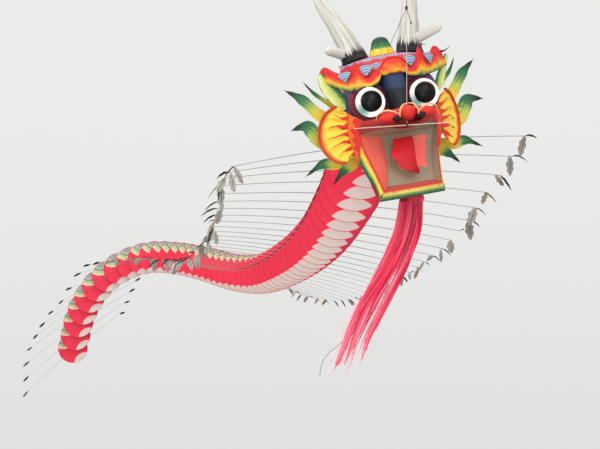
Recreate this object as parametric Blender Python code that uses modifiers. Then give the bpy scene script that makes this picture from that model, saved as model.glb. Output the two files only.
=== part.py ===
"""A dragon-headed kite: a framed, painted head on a two-leg bridle, and a train of round silk discs.

Metres, +Z up. The origin is the centre of the tow ring that the flying line ends in. The head looks
along -Y, turned a little towards +X, and the train runs back along +Y, down and to -X.
The head is modelled in its own axes: x to the right as seen from the front, y back, z up.
Left and right in the names are also as seen from the front.
"""

from math import cos, pi, radians, sin

import bmesh
import bpy
from mathutils import Euler, Matrix, Vector

# ---- driving dimensions, metres and degrees ----
GAP = 0.0003

RING_R = 0.012
RING_WIRE = 0.002
KNOT = Vector((0.0, 0.0, -0.067))
KNOT_R = 0.0045
CREST_TIE = Vector((0.0245, 0.092, 0.172))
LINE_R = 0.0011

HEAD_AT = Vector((-0.028, 0.07, -0.339))
HEAD_YAW = 5.0
HEAD_ROLL = -10.0
HEAD_MATRIX = (
    Matrix.Translation(HEAD_AT)
    @ Euler((0.0, 0.0, radians(HEAD_YAW))).to_matrix().to_4x4()
    @ Euler((0.0, radians(HEAD_ROLL), 0.0)).to_matrix().to_4x4()
)

FACE_Y = 0.03
FACE_W = 0.13
FACE_TOP = 0.115
FACE_BOTTOM = -0.085
MASK_Y = 0.022
MASK_T = 0.002
HOOP_Y = 0.165
HOOP_R = 0.155
HOOP_Z = -0.02
CANE_R = 0.003
SILK = 0.0016
COVER_OUT = 0.009

SNOUT_BACK = 0.0195

EYE_AT = Vector((0.085, -0.03, 0.002))
EYE_R = 0.046
EYE_DEPTH = 0.018
EYE_AXLE_R = 0.0025

BAR_AT = Vector((0.0, -0.115, -0.089))
BAR_HALF = 0.165
BAR_R = 0.0022

JAW_PIN = Vector((0.0, 0.045, -0.128))
JAW_PIN_HALF = 0.137
JAW_TOP_W = 0.122
JAW_LIP_W = 0.09
JAW_LIP_AT = Vector((0.0, -0.085, -0.305))
JAW_BACK = 0.085

TONGUE_AT = Vector((0.0, 0.0, -0.112))
TONGUE_LENGTH = 0.118
TONGUE_W = 0.062

HORN_BASE = Vector((0.089, 0.085, 0.156))
HORN_TIP = Vector((0.156, 0.225, 0.40))
HORN_R = 0.034
HORN_PEG_R = 0.006
HORN_PEG = 0.03

EAR_ROOT = Vector((0.150, 0.050, -0.075))
EAR_SWEEP = 42.0
EAR_LENGTH = 0.112
EAR_HALF = 0.09

LEAF_TIPS = ((0.256, 0.126), (0.318, 0.107), (0.321, -0.028), (0.300, -0.183), (0.214, -0.223))
LEAF_W = 0.044
LEAF_Y = 0.178

BEARD_AT = Vector((0.0, -0.07, -0.320))
BEARD_TIP = Vector((-0.20, -0.14, -1.16))
BEARD_TOP_W = 0.045
BEARD_LOW_W = 0.085
BEARD_THICK = 0.010

DISC_R = 0.125
DISC_T = 0.003
DISC_SIDES = 18
DISCS = 48
SECTIONS = 12
PER_SECTION = 4
KEEL_R = 0.002
STICK_R = 0.002
STICK_HALF = 0.52
STICK_DROOP = 0.028
STICK_DROP = 0.012
STICK_FRONT = 0.0042
SIDE_CORD_R = 0.0015
SIDE_CORD_AT = DISC_R + 0.020
KEEL_END = 0.003
SIDE_END = 0.013

# The train's keel: x, y, z and how far the cross sticks roll, in degrees, falling towards +X.
TRAIN_PATH = (
    (-0.05, 0.48, -0.43, -6),
    (-0.10, 0.77, -0.52, 0),
    (-0.135, 1.07, -0.62, 4),
    (-0.22, 1.69, -0.78, 8),
    (-0.36, 2.45, -0.92, 11),
    (-0.55, 3.25, -1.03, 14),
    (-0.77, 3.85, -1.05, 14),
    (-0.99, 4.35, -1.02, 10),
    (-1.25, 4.80, -0.99, 3),
    (-1.52, 5.10, -0.99, -4),
    (-1.75, 5.25, -1.06, -23),
    (-1.97, 5.36, -1.21, -30),
    (-2.15, 5.49, -1.46, -33),
    (-2.26, 5.65, -1.78, -40),
)

COLOURS = {
    "red_silk": (0.62, 0.02, 0.03, 0.55, 0.0),
    "crimson_silk": (0.72, 0.03, 0.06, 0.6, 0.0),
    "yellow_silk": (0.80, 0.52, 0.03, 0.6, 0.0),
    "coral_silk": (0.85, 0.16, 0.10, 0.6, 0.0),
    "green_silk": (0.05, 0.20, 0.08, 0.6, 0.0),
    "navy_silk": (0.03, 0.05, 0.10, 0.6, 0.0),
    "cane": (0.45, 0.30, 0.15, 0.5, 0.0),
    "cord": (0.55, 0.50, 0.42, 0.8, 0.0),
    "black_gloss": (0.01, 0.01, 0.012, 0.15, 0.0),
    "horn": (0.55, 0.50, 0.42, 0.45, 0.0),
    "steel": (0.6, 0.6, 0.62, 0.3, 1.0),
}


# ---- scene helpers ----
def clear_scene():
    for obj in list(bpy.data.objects):
        bpy.data.objects.remove(obj, do_unlink=True)


def collection(name):
    group = bpy.data.collections.get(name) or bpy.data.collections.new(name)
    if group.name not in bpy.context.scene.collection.children:
        bpy.context.scene.collection.children.link(group)
    return group


def finish_of(kind):
    """The Principled material of one of the finishes above."""
    mat = bpy.data.materials.get(kind)
    if mat:
        return mat
    red, green, blue, rough, metal = COLOURS[kind]
    mat = bpy.data.materials.new(kind)
    mat.use_nodes = True
    shader = mat.node_tree.nodes["Principled BSDF"]
    shader.inputs["Base Color"].default_value = (red, green, blue, 1.0)
    shader.inputs["Roughness"].default_value = rough
    shader.inputs["Metallic"].default_value = metal
    return mat


def add(name, data, kind):
    obj = bpy.data.objects.new(name, data)
    collection("dragon_kite").objects.link(obj)
    data.materials.clear()
    own = finish_of(kind).copy()
    own.name = name + "_finish"
    data.materials.append(own)
    return obj


def empty(name, matrix, parent=None):
    obj = bpy.data.objects.new(name, None)
    collection("dragon_kite").objects.link(obj)
    obj.parent = parent
    obj.matrix_local = matrix
    return obj


def hang(obj, parent, pivot=Vector((0.0, 0.0, 0.0))):
    """Parents a mesh to an axis empty that stands at pivot, in the mesh's own coordinates."""
    obj.data.transform(Matrix.Translation(-pivot))
    obj.parent = parent
    return obj


# ---- shape helpers ----
def tube_mesh(points, radius, closed=False, resolution=2):
    """A round wire through points, as a closed mesh."""
    data = bpy.data.curves.new("wire", "CURVE")
    data.dimensions = "3D"
    data.bevel_depth = radius
    data.bevel_resolution = resolution
    data.use_fill_caps = True
    spline = data.splines.new("POLY")
    spline.points.add(len(points) - 1)
    for point, place in zip(spline.points, points):
        point.co = (*place, 1.0)
    spline.use_cyclic_u = closed
    guide = bpy.data.objects.new("wire", data)
    bpy.context.scene.collection.objects.link(guide)
    mesh = evaluated(guide)
    bpy.data.objects.remove(guide, do_unlink=True)
    return welded(mesh)


def evaluated(obj):
    depsgraph = bpy.context.evaluated_depsgraph_get()
    return bpy.data.meshes.new_from_object(obj.evaluated_get(depsgraph))


def welded(mesh):
    shape = bmesh.new()
    shape.from_mesh(mesh)
    bmesh.ops.remove_doubles(shape, verts=shape.verts, dist=0.00002)
    bmesh.ops.recalc_face_normals(shape, faces=shape.faces)
    shape.to_mesh(mesh)
    shape.free()
    return mesh


def mesh_of(points, faces):
    mesh = bpy.data.meshes.new("shape")
    mesh.from_pydata([tuple(p) for p in points], [], faces)
    return welded(mesh)


def primitive(make, place=Matrix(), **sizes):
    """A closed primitive from one of bmesh's makers, moved to place."""
    shape = bmesh.new()
    make(shape, matrix=place, **sizes)
    mesh = bpy.data.meshes.new("primitive")
    shape.to_mesh(mesh)
    shape.free()
    return mesh


def cylinder(start, end, radius, sides=12, end_radius=None):
    run = end - start
    turn = run.to_track_quat("Z", "Y").to_matrix().to_4x4()
    place = Matrix.Translation((start + end) / 2) @ turn
    top = radius if end_radius is None else end_radius
    return primitive(
        bmesh.ops.create_cone,
        place,
        cap_ends=True,
        segments=sides,
        radius1=radius,
        radius2=top,
        depth=run.length,
    )


def combine(first, others, operation="UNION"):
    """A Boolean of one mesh with a list of others, as one mesh."""
    cutters = collection("cutters")
    body = bpy.data.objects.new("body", first)
    bpy.context.scene.collection.objects.link(body)
    guides = []
    for index, mesh in enumerate(others):
        guide = bpy.data.objects.new(f"cutter_{index}", mesh)
        guide.hide_render = True
        guide.display_type = "WIRE"
        cutters.objects.link(guide)
        guides.append(guide)
        step = body.modifiers.new(f"join_{index}", "BOOLEAN")
        step.operation = operation
        step.object = guide
    result = evaluated(body)
    for spent in [body, *guides]:
        bpy.data.objects.remove(spent, do_unlink=True)
    return welded(result)


def thickened(mesh, thickness, offset=1.0):
    """An open surface made into a closed sheet of the given thickness."""
    sheet = bpy.data.objects.new("sheet", mesh)
    bpy.context.scene.collection.objects.link(sheet)
    step = sheet.modifiers.new("thickness", "SOLIDIFY")
    step.thickness = thickness
    step.offset = offset
    result = evaluated(sheet)
    bpy.data.objects.remove(sheet, do_unlink=True)
    return welded(result)


def plate(outline, thickness, place=Matrix()):
    """A flat outline, given in x and y, with the given thickness."""
    data = bpy.data.curves.new("outline", "CURVE")
    data.dimensions = "2D"
    data.fill_mode = "BOTH"
    data.extrude = thickness / 2
    spline = data.splines.new("POLY")
    spline.points.add(len(outline) - 1)
    for point, (x, y) in zip(spline.points, outline):
        point.co = (x, y, 0.0, 1.0)
    spline.use_cyclic_u = True
    guide = bpy.data.objects.new("outline", data)
    bpy.context.scene.collection.objects.link(guide)
    mesh = evaluated(guide)
    bpy.data.objects.remove(guide, do_unlink=True)
    mesh.transform(place)
    return welded(mesh)


def mirrored(mesh):
    """The same shape on the other side of x = 0."""
    copy = mesh.copy()
    copy.transform(Matrix.Diagonal((-1.0, 1.0, 1.0, 1.0)))
    return welded(copy)


def oval(width, low, high, y, count, start=0.0, sweep=2 * pi):
    """Points round an oval in a plane of constant y."""
    middle = (low + high) / 2
    half = (high - low) / 2
    steps = count if sweep >= 2 * pi else count - 1
    angles = [start + sweep * i / steps for i in range(count)]
    return [Vector((width * cos(a), y, middle + half * sin(a))) for a in angles]


def smooth_path(points, steps):
    """Points on a smooth curve through hand-set points of any dimension."""
    rows = [Vector(p) for p in points]
    ends = [2 * rows[0] - rows[1], *rows, 2 * rows[-1] - rows[-2]]
    result = []
    for i in range(len(rows) - 1):
        before, here, there, after = ends[i : i + 4]
        for step in range(steps):
            t = step / steps
            slope = (there - before) * t
            bend = (2 * before - 5 * here + 4 * there - after) * t * t
            twist = (3 * here - before - 3 * there + after) * t * t * t
            result.append(here + 0.5 * (slope + bend + twist))
    result.append(rows[-1])
    return result


# ---- the head: frame and covers ----
def skull_frame(head):
    face = tube_mesh(oval(FACE_W, FACE_BOTTOM, FACE_TOP, FACE_Y, 20), CANE_R, closed=True, resolution=1)
    bars = []
    for angle in (40, 140, 220, 320):
        a = radians(angle)
        middle = (FACE_TOP + FACE_BOTTOM) / 2
        half = (FACE_TOP - FACE_BOTTOM) / 2
        front = Vector((FACE_W * cos(a), FACE_Y, middle + half * sin(a)))
        back = Vector((HOOP_R * cos(a), HOOP_Y, HOOP_Z + HOOP_R * sin(a)))
        bars.append(cylinder(front, back, CANE_R, 8))
    hoop = oval(HOOP_R, HOOP_Z - HOOP_R, HOOP_Z + HOOP_R, HOOP_Y, 20)
    bars.append(tube_mesh(hoop, CANE_R, closed=True, resolution=1))
    hang(add("skull_frame", combine(face, bars), "cane"), head)


def skull_cover(head):
    """A drum of silk over the frame, open at the face and at the back."""
    rims = []
    count = 20
    for y, wide, low, high in (
        (FACE_Y - 0.010, FACE_W + COVER_OUT, FACE_BOTTOM - COVER_OUT, FACE_TOP + COVER_OUT),
        (0.09, 0.146, -0.138, 0.134),
        (HOOP_Y - 0.010, HOOP_R + COVER_OUT, HOOP_Z - HOOP_R - COVER_OUT, HOOP_Z + HOOP_R + COVER_OUT),
    ):
        rims.append(oval(wide, low, high, y, count))
    points = [p for rim in rims for p in rim]
    faces = []
    for row in range(len(rims) - 1):
        for i in range(count):
            j = (i + 1) % count
            faces.append((row * count + i, row * count + j, (row + 1) * count + j, (row + 1) * count + i))
    hang(add("skull_cover", thickened(mesh_of(points, faces), SILK, 1.0), "navy_silk"), head)


def face_mask(head):
    """The flat oval that the eyes and the nose are mounted on, just in front of the frame."""
    place = Matrix.Translation((0.0, MASK_Y, 0.0)) @ Euler((pi / 2, 0.0, 0.0)).to_matrix().to_4x4()
    outline = [(p.x, p.z) for p in oval(FACE_W, FACE_BOTTOM, FACE_TOP, 0.0, 24)]
    hang(add("face_mask", plate(outline, MASK_T, place), "navy_silk"), head)


def brow_cover(head):
    """The flame band over the eyes, curled back at both ends."""
    columns = 14
    points = []
    for i in range(columns + 1):
        s = -1 + 2 * i / columns
        y = -0.045 + 0.125 * s * s
        lift = 0.018 * s * s
        points.append(Vector((0.188 * s, y, 0.058 + lift)))
        points.append(Vector((0.188 * s, y + 0.012, 0.116 + lift)))
    faces = [(2 * i, 2 * i + 2, 2 * i + 3, 2 * i + 1) for i in range(columns)]
    hang(add("brow_cover", thickened(mesh_of(points, faces), 0.003, -1.0), "red_silk"), head)


def crown_cone(head):
    base = Vector((0.0, 0.085, 0.1415))
    tip = Vector((0.0, 0.085, 0.20))
    hang(add("crown_cone", cylinder(base, tip, 0.038, 16, 0.008), "green_silk"), head)


def snout_cover(head):
    """The nose: a hollow half shell that opens to the back."""
    centre = Vector((0.0, -0.056, -0.05))
    rows = 5
    count = 14
    points = []
    for row in range(rows + 1):
        tilt = radians(82 * row / rows)
        for i in range(count):
            a = 2 * pi * i / count
            if row == 0:
                points.append(Vector((0.036 * cos(a), SNOUT_BACK, centre.z + 0.03 * sin(a))))
        for i in range(count):
            a = 2 * pi * i / count
            spot = Vector((0.062 * cos(tilt) * cos(a), -0.052 * sin(tilt), 0.034 * cos(tilt) * sin(a)))
            points.append(centre + spot)
    faces = []
    for row in range(rows + 1):
        for i in range(count):
            j = (i + 1) % count
            faces.append((row * count + j, row * count + i, (row + 1) * count + i, (row + 1) * count + j))
    last = (rows + 1) * count
    faces.append(tuple(last + i for i in range(count)))
    hang(add("snout_cover", thickened(mesh_of(points, faces), SILK, -1.0), "red_silk"), head)


def upper_lip_bar(head):
    offset = Vector((BAR_HALF, 0.0, 0.0))
    hang(add("upper_lip_bar", cylinder(BAR_AT - offset, BAR_AT + offset, BAR_R, 8), "cane"), head)


def mane(head, side, name):
    """Five pointed leaves on a strip behind the neck hoop."""
    strip_r = HOOP_R + 0.012
    centre = Vector((0.0, HOOP_Z))
    leaves = []
    turn = Matrix.Translation((0.0, LEAF_Y, 0.0)) @ Euler((pi / 2, 0.0, 0.0)).to_matrix().to_4x4()
    for tip in LEAF_TIPS:
        away = (Vector(tip) - centre).normalized()
        root = centre + away * (strip_r - 0.012)
        across = Vector((-away.y, away.x)) * LEAF_W / 2
        middle = root.lerp(Vector(tip), 0.42)
        outline = [root - across * 0.8, middle - across, Vector(tip), middle + across, root + across * 0.8]
        leaves.append(plate(outline, 0.0024, turn))
    arc = []
    for step in range(15):
        a = radians(-62 + 124 * step / 14)
        arc.append(Vector((strip_r * cos(a), HOOP_Z + strip_r * sin(a))))
    inner = [centre + (p - centre) * ((strip_r - 0.016) / strip_r) for p in reversed(arc)]
    strip = plate(arc + inner, 0.003, turn)
    whole = combine(strip, leaves)
    if side < 0:
        whole = mirrored(whole)
    hang(add(name, whole, "green_silk"), head)


# ---- the head: eyes, ears, horns, jaw, tongue ----
def eye(head, side, word):
    """A spinning eye on a short axle in a ring that is tied to the face."""
    at = Vector((side * EYE_AT.x, EYE_AT.y, EYE_AT.z))
    forward = Vector((0.0, -1.0, 0.0))
    socket = cylinder(at - forward * 0.049, at - forward * 0.020, EYE_R * 0.75, 20)
    bore = cylinder(at - forward * 0.06, at, EYE_AXLE_R + GAP, 12)
    hang(add(f"eye_socket_{word}", combine(socket, [bore], "DIFFERENCE"), "navy_silk"), head)
    axle = cylinder(at - forward * 0.046, at - forward * (EYE_DEPTH * 0.5 + GAP), EYE_AXLE_R, 12)
    hang(add(f"eye_axle_{word}", axle, "cane"), head)
    profile = [(0.0, 0.019), (0.018, 0.016), (0.028, 0.010), (0.030, 0.006)]
    profile += [(EYE_R, 0.004), (EYE_R, -0.004), (0.0, -0.009)]
    data = bpy.data.meshes.new("profile")
    data.from_pydata([(r, 0.0, h) for r, h in profile], [(i, i + 1) for i in range(len(profile) - 1)], [])
    turned = bpy.data.objects.new("profile", data)
    bpy.context.scene.collection.objects.link(turned)
    screw = turned.modifiers.new("turn", "SCREW")
    screw.steps = 20
    screw.render_steps = 20
    screw.use_merge_vertices = True
    screw.merge_threshold = 0.0001
    ball = evaluated(turned)
    bpy.data.objects.remove(turned, do_unlink=True)
    ball.transform(Euler((pi / 2, 0.0, 0.0)).to_matrix().to_4x4())
    axis = empty(f"eye_{word}_axis", Matrix.Translation(at), head)
    hang(add(f"eyeball_{word}", welded(ball), "black_gloss"), axis)


def ear(head, side, word):
    """A fan of silk in a cane rim, hinged along its upright root."""
    sweep = radians(EAR_SWEEP)
    lean = Euler((0.0, 0.0, sweep)).to_matrix().to_4x4()
    upright = Euler((pi / 2, 0.0, 0.0)).to_matrix().to_4x4()
    fan = [(0.004, -EAR_HALF * 0.55)]
    for step in range(13):
        a = radians(-80 + 160 * step / 12)
        fan.append((0.02 + (EAR_LENGTH - 0.02) * cos(a), EAR_HALF * sin(a)))
    fan.append((0.004, EAR_HALF * 0.55))
    silk = plate(fan, SILK, lean @ upright)
    middle = Vector((EAR_LENGTH * 0.45, 0.0))
    rim_line = [middle + (Vector(p) - middle) * 1.045 for p in fan]
    rim = tube_mesh([(p.x, p.y, 0.0) for p in rim_line], 0.0018, closed=True, resolution=1)
    rim.transform(lean @ upright)
    if side < 0:
        silk = mirrored(silk)
        rim = mirrored(rim)
    root = Vector((side * EAR_ROOT.x, EAR_ROOT.y, EAR_ROOT.z))
    axis = empty(f"ear_{word}_axis", Matrix.Translation(root), head)
    hang(add(f"ear_silk_{word}", silk, "yellow_silk"), axis)
    hang(add(f"ear_rim_{word}", rim, "red_silk"), axis)


def horn(head, side, word):
    """A branched horn on a peg that pulls out of a socket."""
    rise = (HORN_TIP - HORN_BASE).normalized()
    socket = cylinder(HORN_BASE - rise * 0.032, HORN_BASE - rise * 0.0016, HORN_PEG_R + 0.004, 14)
    bore = cylinder(HORN_BASE - rise * 0.05, HORN_BASE + rise * 0.01, HORN_PEG_R + GAP, 14)
    socket = combine(socket, [bore], "DIFFERENCE")
    peg = cylinder(HORN_BASE - rise * HORN_PEG, HORN_BASE - rise * 0.0012, HORN_PEG_R, 14)
    knee = HORN_BASE.lerp(HORN_TIP, 0.5) + Vector((-0.006, -0.008, 0.0))
    stem = combine(
        cylinder(HORN_BASE, knee, HORN_R, 14, HORN_R * 0.72),
        [
            cylinder(knee - rise * 0.004, HORN_TIP, HORN_R * 0.72, 14, HORN_R * 0.22),
            cylinder(HORN_BASE + rise * 0.035, Vector((0.192, 0.04, 0.215)), 0.014, 10, 0.009),
        ],
    )
    if side < 0:
        socket, peg, stem = mirrored(socket), mirrored(peg), mirrored(stem)
    base = Vector((side * HORN_BASE.x, HORN_BASE.y, HORN_BASE.z))
    hang(add(f"horn_socket_{word}", socket, "cane"), head)
    axis = empty(f"horn_{word}_axis", Matrix.Translation(base), head)
    hang(add(f"horn_{word}", stem, "horn"), axis, base)
    hang(add(f"horn_peg_{word}", peg, "cane"), axis, base)


def jaw(head):
    """The open lower jaw: a cane loop, a trough of silk inside it, a lip band and the pivot rod."""
    axis = empty("jaw_axis", Matrix.Translation(JAW_PIN), head)
    offset = Vector((JAW_PIN_HALF, 0.0, 0.0))
    hang(add("jaw_pin", cylinder(JAW_PIN - offset, JAW_PIN + offset, 0.0025, 10), "cane"), head)
    top_y = JAW_PIN.y - 0.012
    top_z = JAW_PIN.z - 0.004
    lip_y = JAW_LIP_AT.y
    lip_z = JAW_LIP_AT.z
    outer = 0.0045
    loop = [
        Vector((-JAW_TOP_W - outer, JAW_PIN.y - 0.006, top_z)),
        Vector((-JAW_TOP_W - outer, JAW_PIN.y - 0.09, top_z - 0.07)),
        Vector((-JAW_LIP_W - outer, lip_y + 0.018, lip_z - 0.006)),
        Vector((-JAW_LIP_W * 0.55, lip_y - 0.004, lip_z - 0.006)),
        Vector((JAW_LIP_W * 0.55, lip_y - 0.004, lip_z - 0.006)),
        Vector((JAW_LIP_W + outer, lip_y + 0.018, lip_z - 0.006)),
        Vector((JAW_TOP_W + outer, JAW_PIN.y - 0.09, top_z - 0.07)),
        Vector((JAW_TOP_W + outer, JAW_PIN.y - 0.006, top_z)),
    ]
    hang(add("jaw_frame", tube_mesh(loop, CANE_R), "cane"), axis, JAW_PIN)
    rows = []
    for t in (0.0, 0.35, 0.7, 1.0):
        half = JAW_TOP_W + (JAW_LIP_W - JAW_TOP_W) * t
        z = top_z - 0.012 + (lip_z + 0.012 - top_z) * t
        front = top_y - 0.035 + (lip_y + 0.02 - top_y + 0.035) * t
        back = JAW_BACK + (lip_y + 0.045 - JAW_BACK) * t
        rows.append(
            [
                Vector((-half, front, z)),
                Vector((-half * 0.92, (front + back) / 2, z)),
                Vector((-half * 0.6, back, z)),
                Vector((half * 0.6, back, z)),
                Vector((half * 0.92, (front + back) / 2, z)),
                Vector((half, front, z)),
            ]
        )
    count = len(rows[0])
    points = [p for row in rows for p in row]
    faces = []
    for r in range(len(rows) - 1):
        for i in range(count - 1):
            faces.append((r * count + i, r * count + i + 1, (r + 1) * count + i + 1, (r + 1) * count + i))
    last = (len(rows) - 1) * count
    faces.append(tuple(last + i for i in range(count)))
    hang(add("jaw_cover", thickened(mesh_of(points, faces), SILK, 0.0), "coral_silk"), axis, JAW_PIN)
    band = []
    columns = 10
    for i in range(columns + 1):
        s = -1 + 2 * i / columns
        y = lip_y - 0.012 + 0.026 * s * s
        band.append(Vector((JAW_LIP_W * 1.02 * s, y, lip_z + 0.002)))
        band.append(Vector((JAW_LIP_W * 1.02 * s, y + 0.004, lip_z + 0.045)))
    faces = [(2 * i, 2 * i + 2, 2 * i + 3, 2 * i + 1) for i in range(columns)]
    hang(add("jaw_lip", thickened(mesh_of(band, faces), 0.003, 1.0), "green_silk"), axis, JAW_PIN)


def tongue(head):
    axis = empty("tongue_axis", Matrix.Translation(TONGUE_AT), head)
    half = TONGUE_W / 2
    outline = [(-half * 0.8, 0.0), (-half, -0.05), (-half * 0.75, -0.095), (0.0, -TONGUE_LENGTH)]
    outline += [(half * 0.75, -0.095), (half, -0.05), (half * 0.8, 0.0)]
    lean = Euler((radians(-14), 0.0, 0.0)).to_matrix().to_4x4()
    upright = Euler((pi / 2, 0.0, 0.0)).to_matrix().to_4x4()
    hang(add("tongue", plate(outline, 0.004, lean @ upright), "red_silk"), axis)


def beard(head):
    """The bundle of streamers under the lip, as one flat tapering body."""
    top = HEAD_MATRIX @ BEARD_AT
    axis = empty("beard_axis", Matrix.Translation(top))
    run = BEARD_TIP - top
    stations = ((0.0, BEARD_TOP_W, 0.0), (0.3, 0.06, 0.02), (0.65, 0.075, 0.02), (1.0, BEARD_LOW_W, 0.0))
    corners = ((-1, -1), (1, -1), (1, 1), (-1, 1))
    rows = []
    for t, width, bow in stations:
        middle = run * t + Vector((bow, 0.0, 0.0))
        rows.append([middle + Vector((sx * width / 2, sy * BEARD_THICK, 0.0)) for sx, sy in corners])
    points = [p for row in rows for p in row]
    faces = [(0, 1, 2, 3), tuple(4 * len(rows) - 4 + i for i in (3, 2, 1, 0))]
    for r in range(len(rows) - 1):
        for i in range(4):
            j = (i + 1) % 4
            faces.append((4 * r + i, 4 * r + j, 4 * r + 4 + j, 4 * r + 4 + i))
    hang(add("beard", mesh_of(points, faces), "crimson_silk"), axis)


# ---- bridle ----
def bridle(head):
    ring = tube_mesh(oval(RING_R, -RING_R, RING_R, 0.0, 20), RING_WIRE, closed=True, resolution=1)
    add("tow_ring", ring, "steel")
    line_top = Vector((0.0, 0.0, -RING_R - RING_WIRE - GAP))
    ball = {"u_segments": 10, "v_segments": 6, "radius": KNOT_R}
    add("bridle_knot", primitive(bmesh.ops.create_uvsphere, Matrix.Translation(KNOT), **ball), "black_gloss")
    add("flying_line", cylinder(line_top, KNOT + Vector((0.0, 0.0, KNOT_R + GAP)), LINE_R, 8), "cord")
    crest = HEAD_MATRIX @ CREST_TIE
    lip = HEAD_MATRIX @ (BAR_AT + Vector((0.0, -0.0015, BAR_R + 0.0016)))
    for name, end in (("bridle_crest_leg", crest), ("bridle_lip_leg", lip)):
        away = (end - KNOT).normalized()
        start = KNOT + away * (KNOT_R + GAP)
        add(name, cylinder(start, end - away * GAP, LINE_R * 0.8, 8), "cord")


# ---- train ----
def train_places():
    """The centre and the stick roll of every disc, at an even pitch along the keel."""
    path = smooth_path(TRAIN_PATH, 40)
    reach = [0.0]
    for here, there in zip(path, path[1:]):
        reach.append(reach[-1] + (there.to_3d() - here.to_3d()).length)
    places = []
    for index in range(DISCS):
        goal = reach[-1] * index / (DISCS - 1)
        at = max(i for i in range(len(reach) - 1) if reach[i] <= goal + 1e-9)
        t = min(1.0, (goal - reach[at]) / (reach[at + 1] - reach[at]))
        row = path[at].lerp(path[at + 1], t)
        places.append((row.to_3d(), radians(row.w)))
    return places


def across(roll):
    """The direction of a disc's cross stick, towards +X."""
    return Vector((cos(roll), 0.0, -sin(roll)))


def upward(roll):
    """The direction of a disc's back edge."""
    return Vector((sin(roll), 0.0, cos(roll)))


def section_joint(places, section):
    """The point and the roll of the joint in front of a section."""
    first = section * PER_SECTION
    centre, roll = places[first]
    if first == 0:
        ahead = places[1][0] - centre
        return centre - ahead * 0.5, roll
    before, before_roll = places[first - 1]
    return (before + centre) / 2, (before_roll + roll) / 2


def stick_point(centre, roll, s):
    """A point along a cross stick, s from -1 to 1: it droops towards its ends."""
    sag = Vector((0.0, 0.0, -STICK_DROOP * s * s))
    level = Vector((0.0, -STICK_FRONT, 0.0)) - upward(roll) * STICK_DROP
    return centre + across(roll) * (STICK_HALF * s) + level + sag


def cord_ends(places, section, offset_of, trim):
    """A cord's points through one section, with its ends short of the joints on either side."""
    first = section * PER_SECTION
    last = first + PER_SECTION - 1
    points = [offset_of(*places[i]) for i in range(first, last + 1)]
    if first > 0:
        middle = (offset_of(*places[first - 1]) + points[0]) / 2
    else:
        middle = points[0] - (points[1] - points[0]) / 2
    points.insert(0, middle + (points[0] - middle).normalized() * trim)
    if last < DISCS - 1:
        middle = (points[-1] + offset_of(*places[last + 1])) / 2
        points.append(middle + (points[-1] - middle).normalized() * trim)
    return points


def side_anchor(side):
    """The point on a disc's stick that a side cord is tied to."""
    return lambda centre, roll: stick_point(centre, roll, side * SIDE_CORD_AT / STICK_HALF)


def train_section(places, section):
    word = f"{section + 1:02d}"
    joint, _ = section_joint(places, section)
    axis = empty(f"section_{word}_axis", Matrix.Translation(joint))
    first = section * PER_SECTION
    discs = []
    sticks = []
    for centre, roll in places[first : first + PER_SECTION]:
        half = Vector((0.0, DISC_T / 2, 0.0))
        discs.append(cylinder(centre - half, centre + half, DISC_R, DISC_SIDES))
        tie = SIDE_CORD_AT / STICK_HALF
        bends = [stick_point(centre, roll, s) for s in (-1.0, -tie, tie, 1.0)]
        sticks.append(tube_mesh(bends, STICK_R, resolution=1))
    keel = tube_mesh(cord_ends(places, section, lambda c, r: c, KEEL_END), KEEL_R, resolution=1)
    hang(add(f"silk_discs_{word}", combine(keel, discs), "crimson_silk"), axis, joint)
    cords = [
        tube_mesh(cord_ends(places, section, side_anchor(side), SIDE_END), SIDE_CORD_R, resolution=1)
        for side in (-1, 1)
    ]
    hang(add(f"whiskers_{word}", combine(cords[0], [cords[1], *sticks]), "cane"), axis, joint)


def build():
    clear_scene()
    head = empty("head_axis", HEAD_MATRIX)
    skull_frame(head)
    skull_cover(head)
    face_mask(head)
    brow_cover(head)
    crown_cone(head)
    snout_cover(head)
    upper_lip_bar(head)
    for side, word in ((-1, "left"), (1, "right")):
        mane(head, side, f"mane_{word}")
        eye(head, side, word)
        ear(head, side, word)
        horn(head, side, word)
    jaw(head)
    tongue(head)
    beard(head)
    bridle(head)
    places = train_places()
    for section in range(SECTIONS):
        train_section(places, section)
    spare = bpy.data.collections.get("cutters")
    if spare and not spare.objects:
        bpy.data.collections.remove(spare)


build()
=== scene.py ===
"""The looks of the dragon kite: silk, cane, gauze, feathers, cords and streamers round the CAD frame."""

import random
from math import cos, pi, radians, sin

import bmesh
import bpy
from mathutils import Euler, Matrix, Vector


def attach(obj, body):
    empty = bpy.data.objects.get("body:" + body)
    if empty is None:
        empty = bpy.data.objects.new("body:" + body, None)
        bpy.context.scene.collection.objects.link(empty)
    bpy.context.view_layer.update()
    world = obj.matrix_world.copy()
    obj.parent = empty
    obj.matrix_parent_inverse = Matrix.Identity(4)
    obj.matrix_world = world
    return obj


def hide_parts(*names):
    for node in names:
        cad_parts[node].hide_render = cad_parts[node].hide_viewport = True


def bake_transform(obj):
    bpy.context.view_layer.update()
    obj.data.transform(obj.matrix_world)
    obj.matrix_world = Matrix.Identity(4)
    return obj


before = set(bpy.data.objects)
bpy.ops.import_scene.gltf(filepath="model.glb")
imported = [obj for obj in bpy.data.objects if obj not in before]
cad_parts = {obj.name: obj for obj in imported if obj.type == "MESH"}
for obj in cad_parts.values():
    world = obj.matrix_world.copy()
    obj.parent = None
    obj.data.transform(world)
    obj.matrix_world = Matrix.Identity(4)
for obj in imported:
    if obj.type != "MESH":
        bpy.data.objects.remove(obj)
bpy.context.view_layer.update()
dice = random.Random(7)

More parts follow.
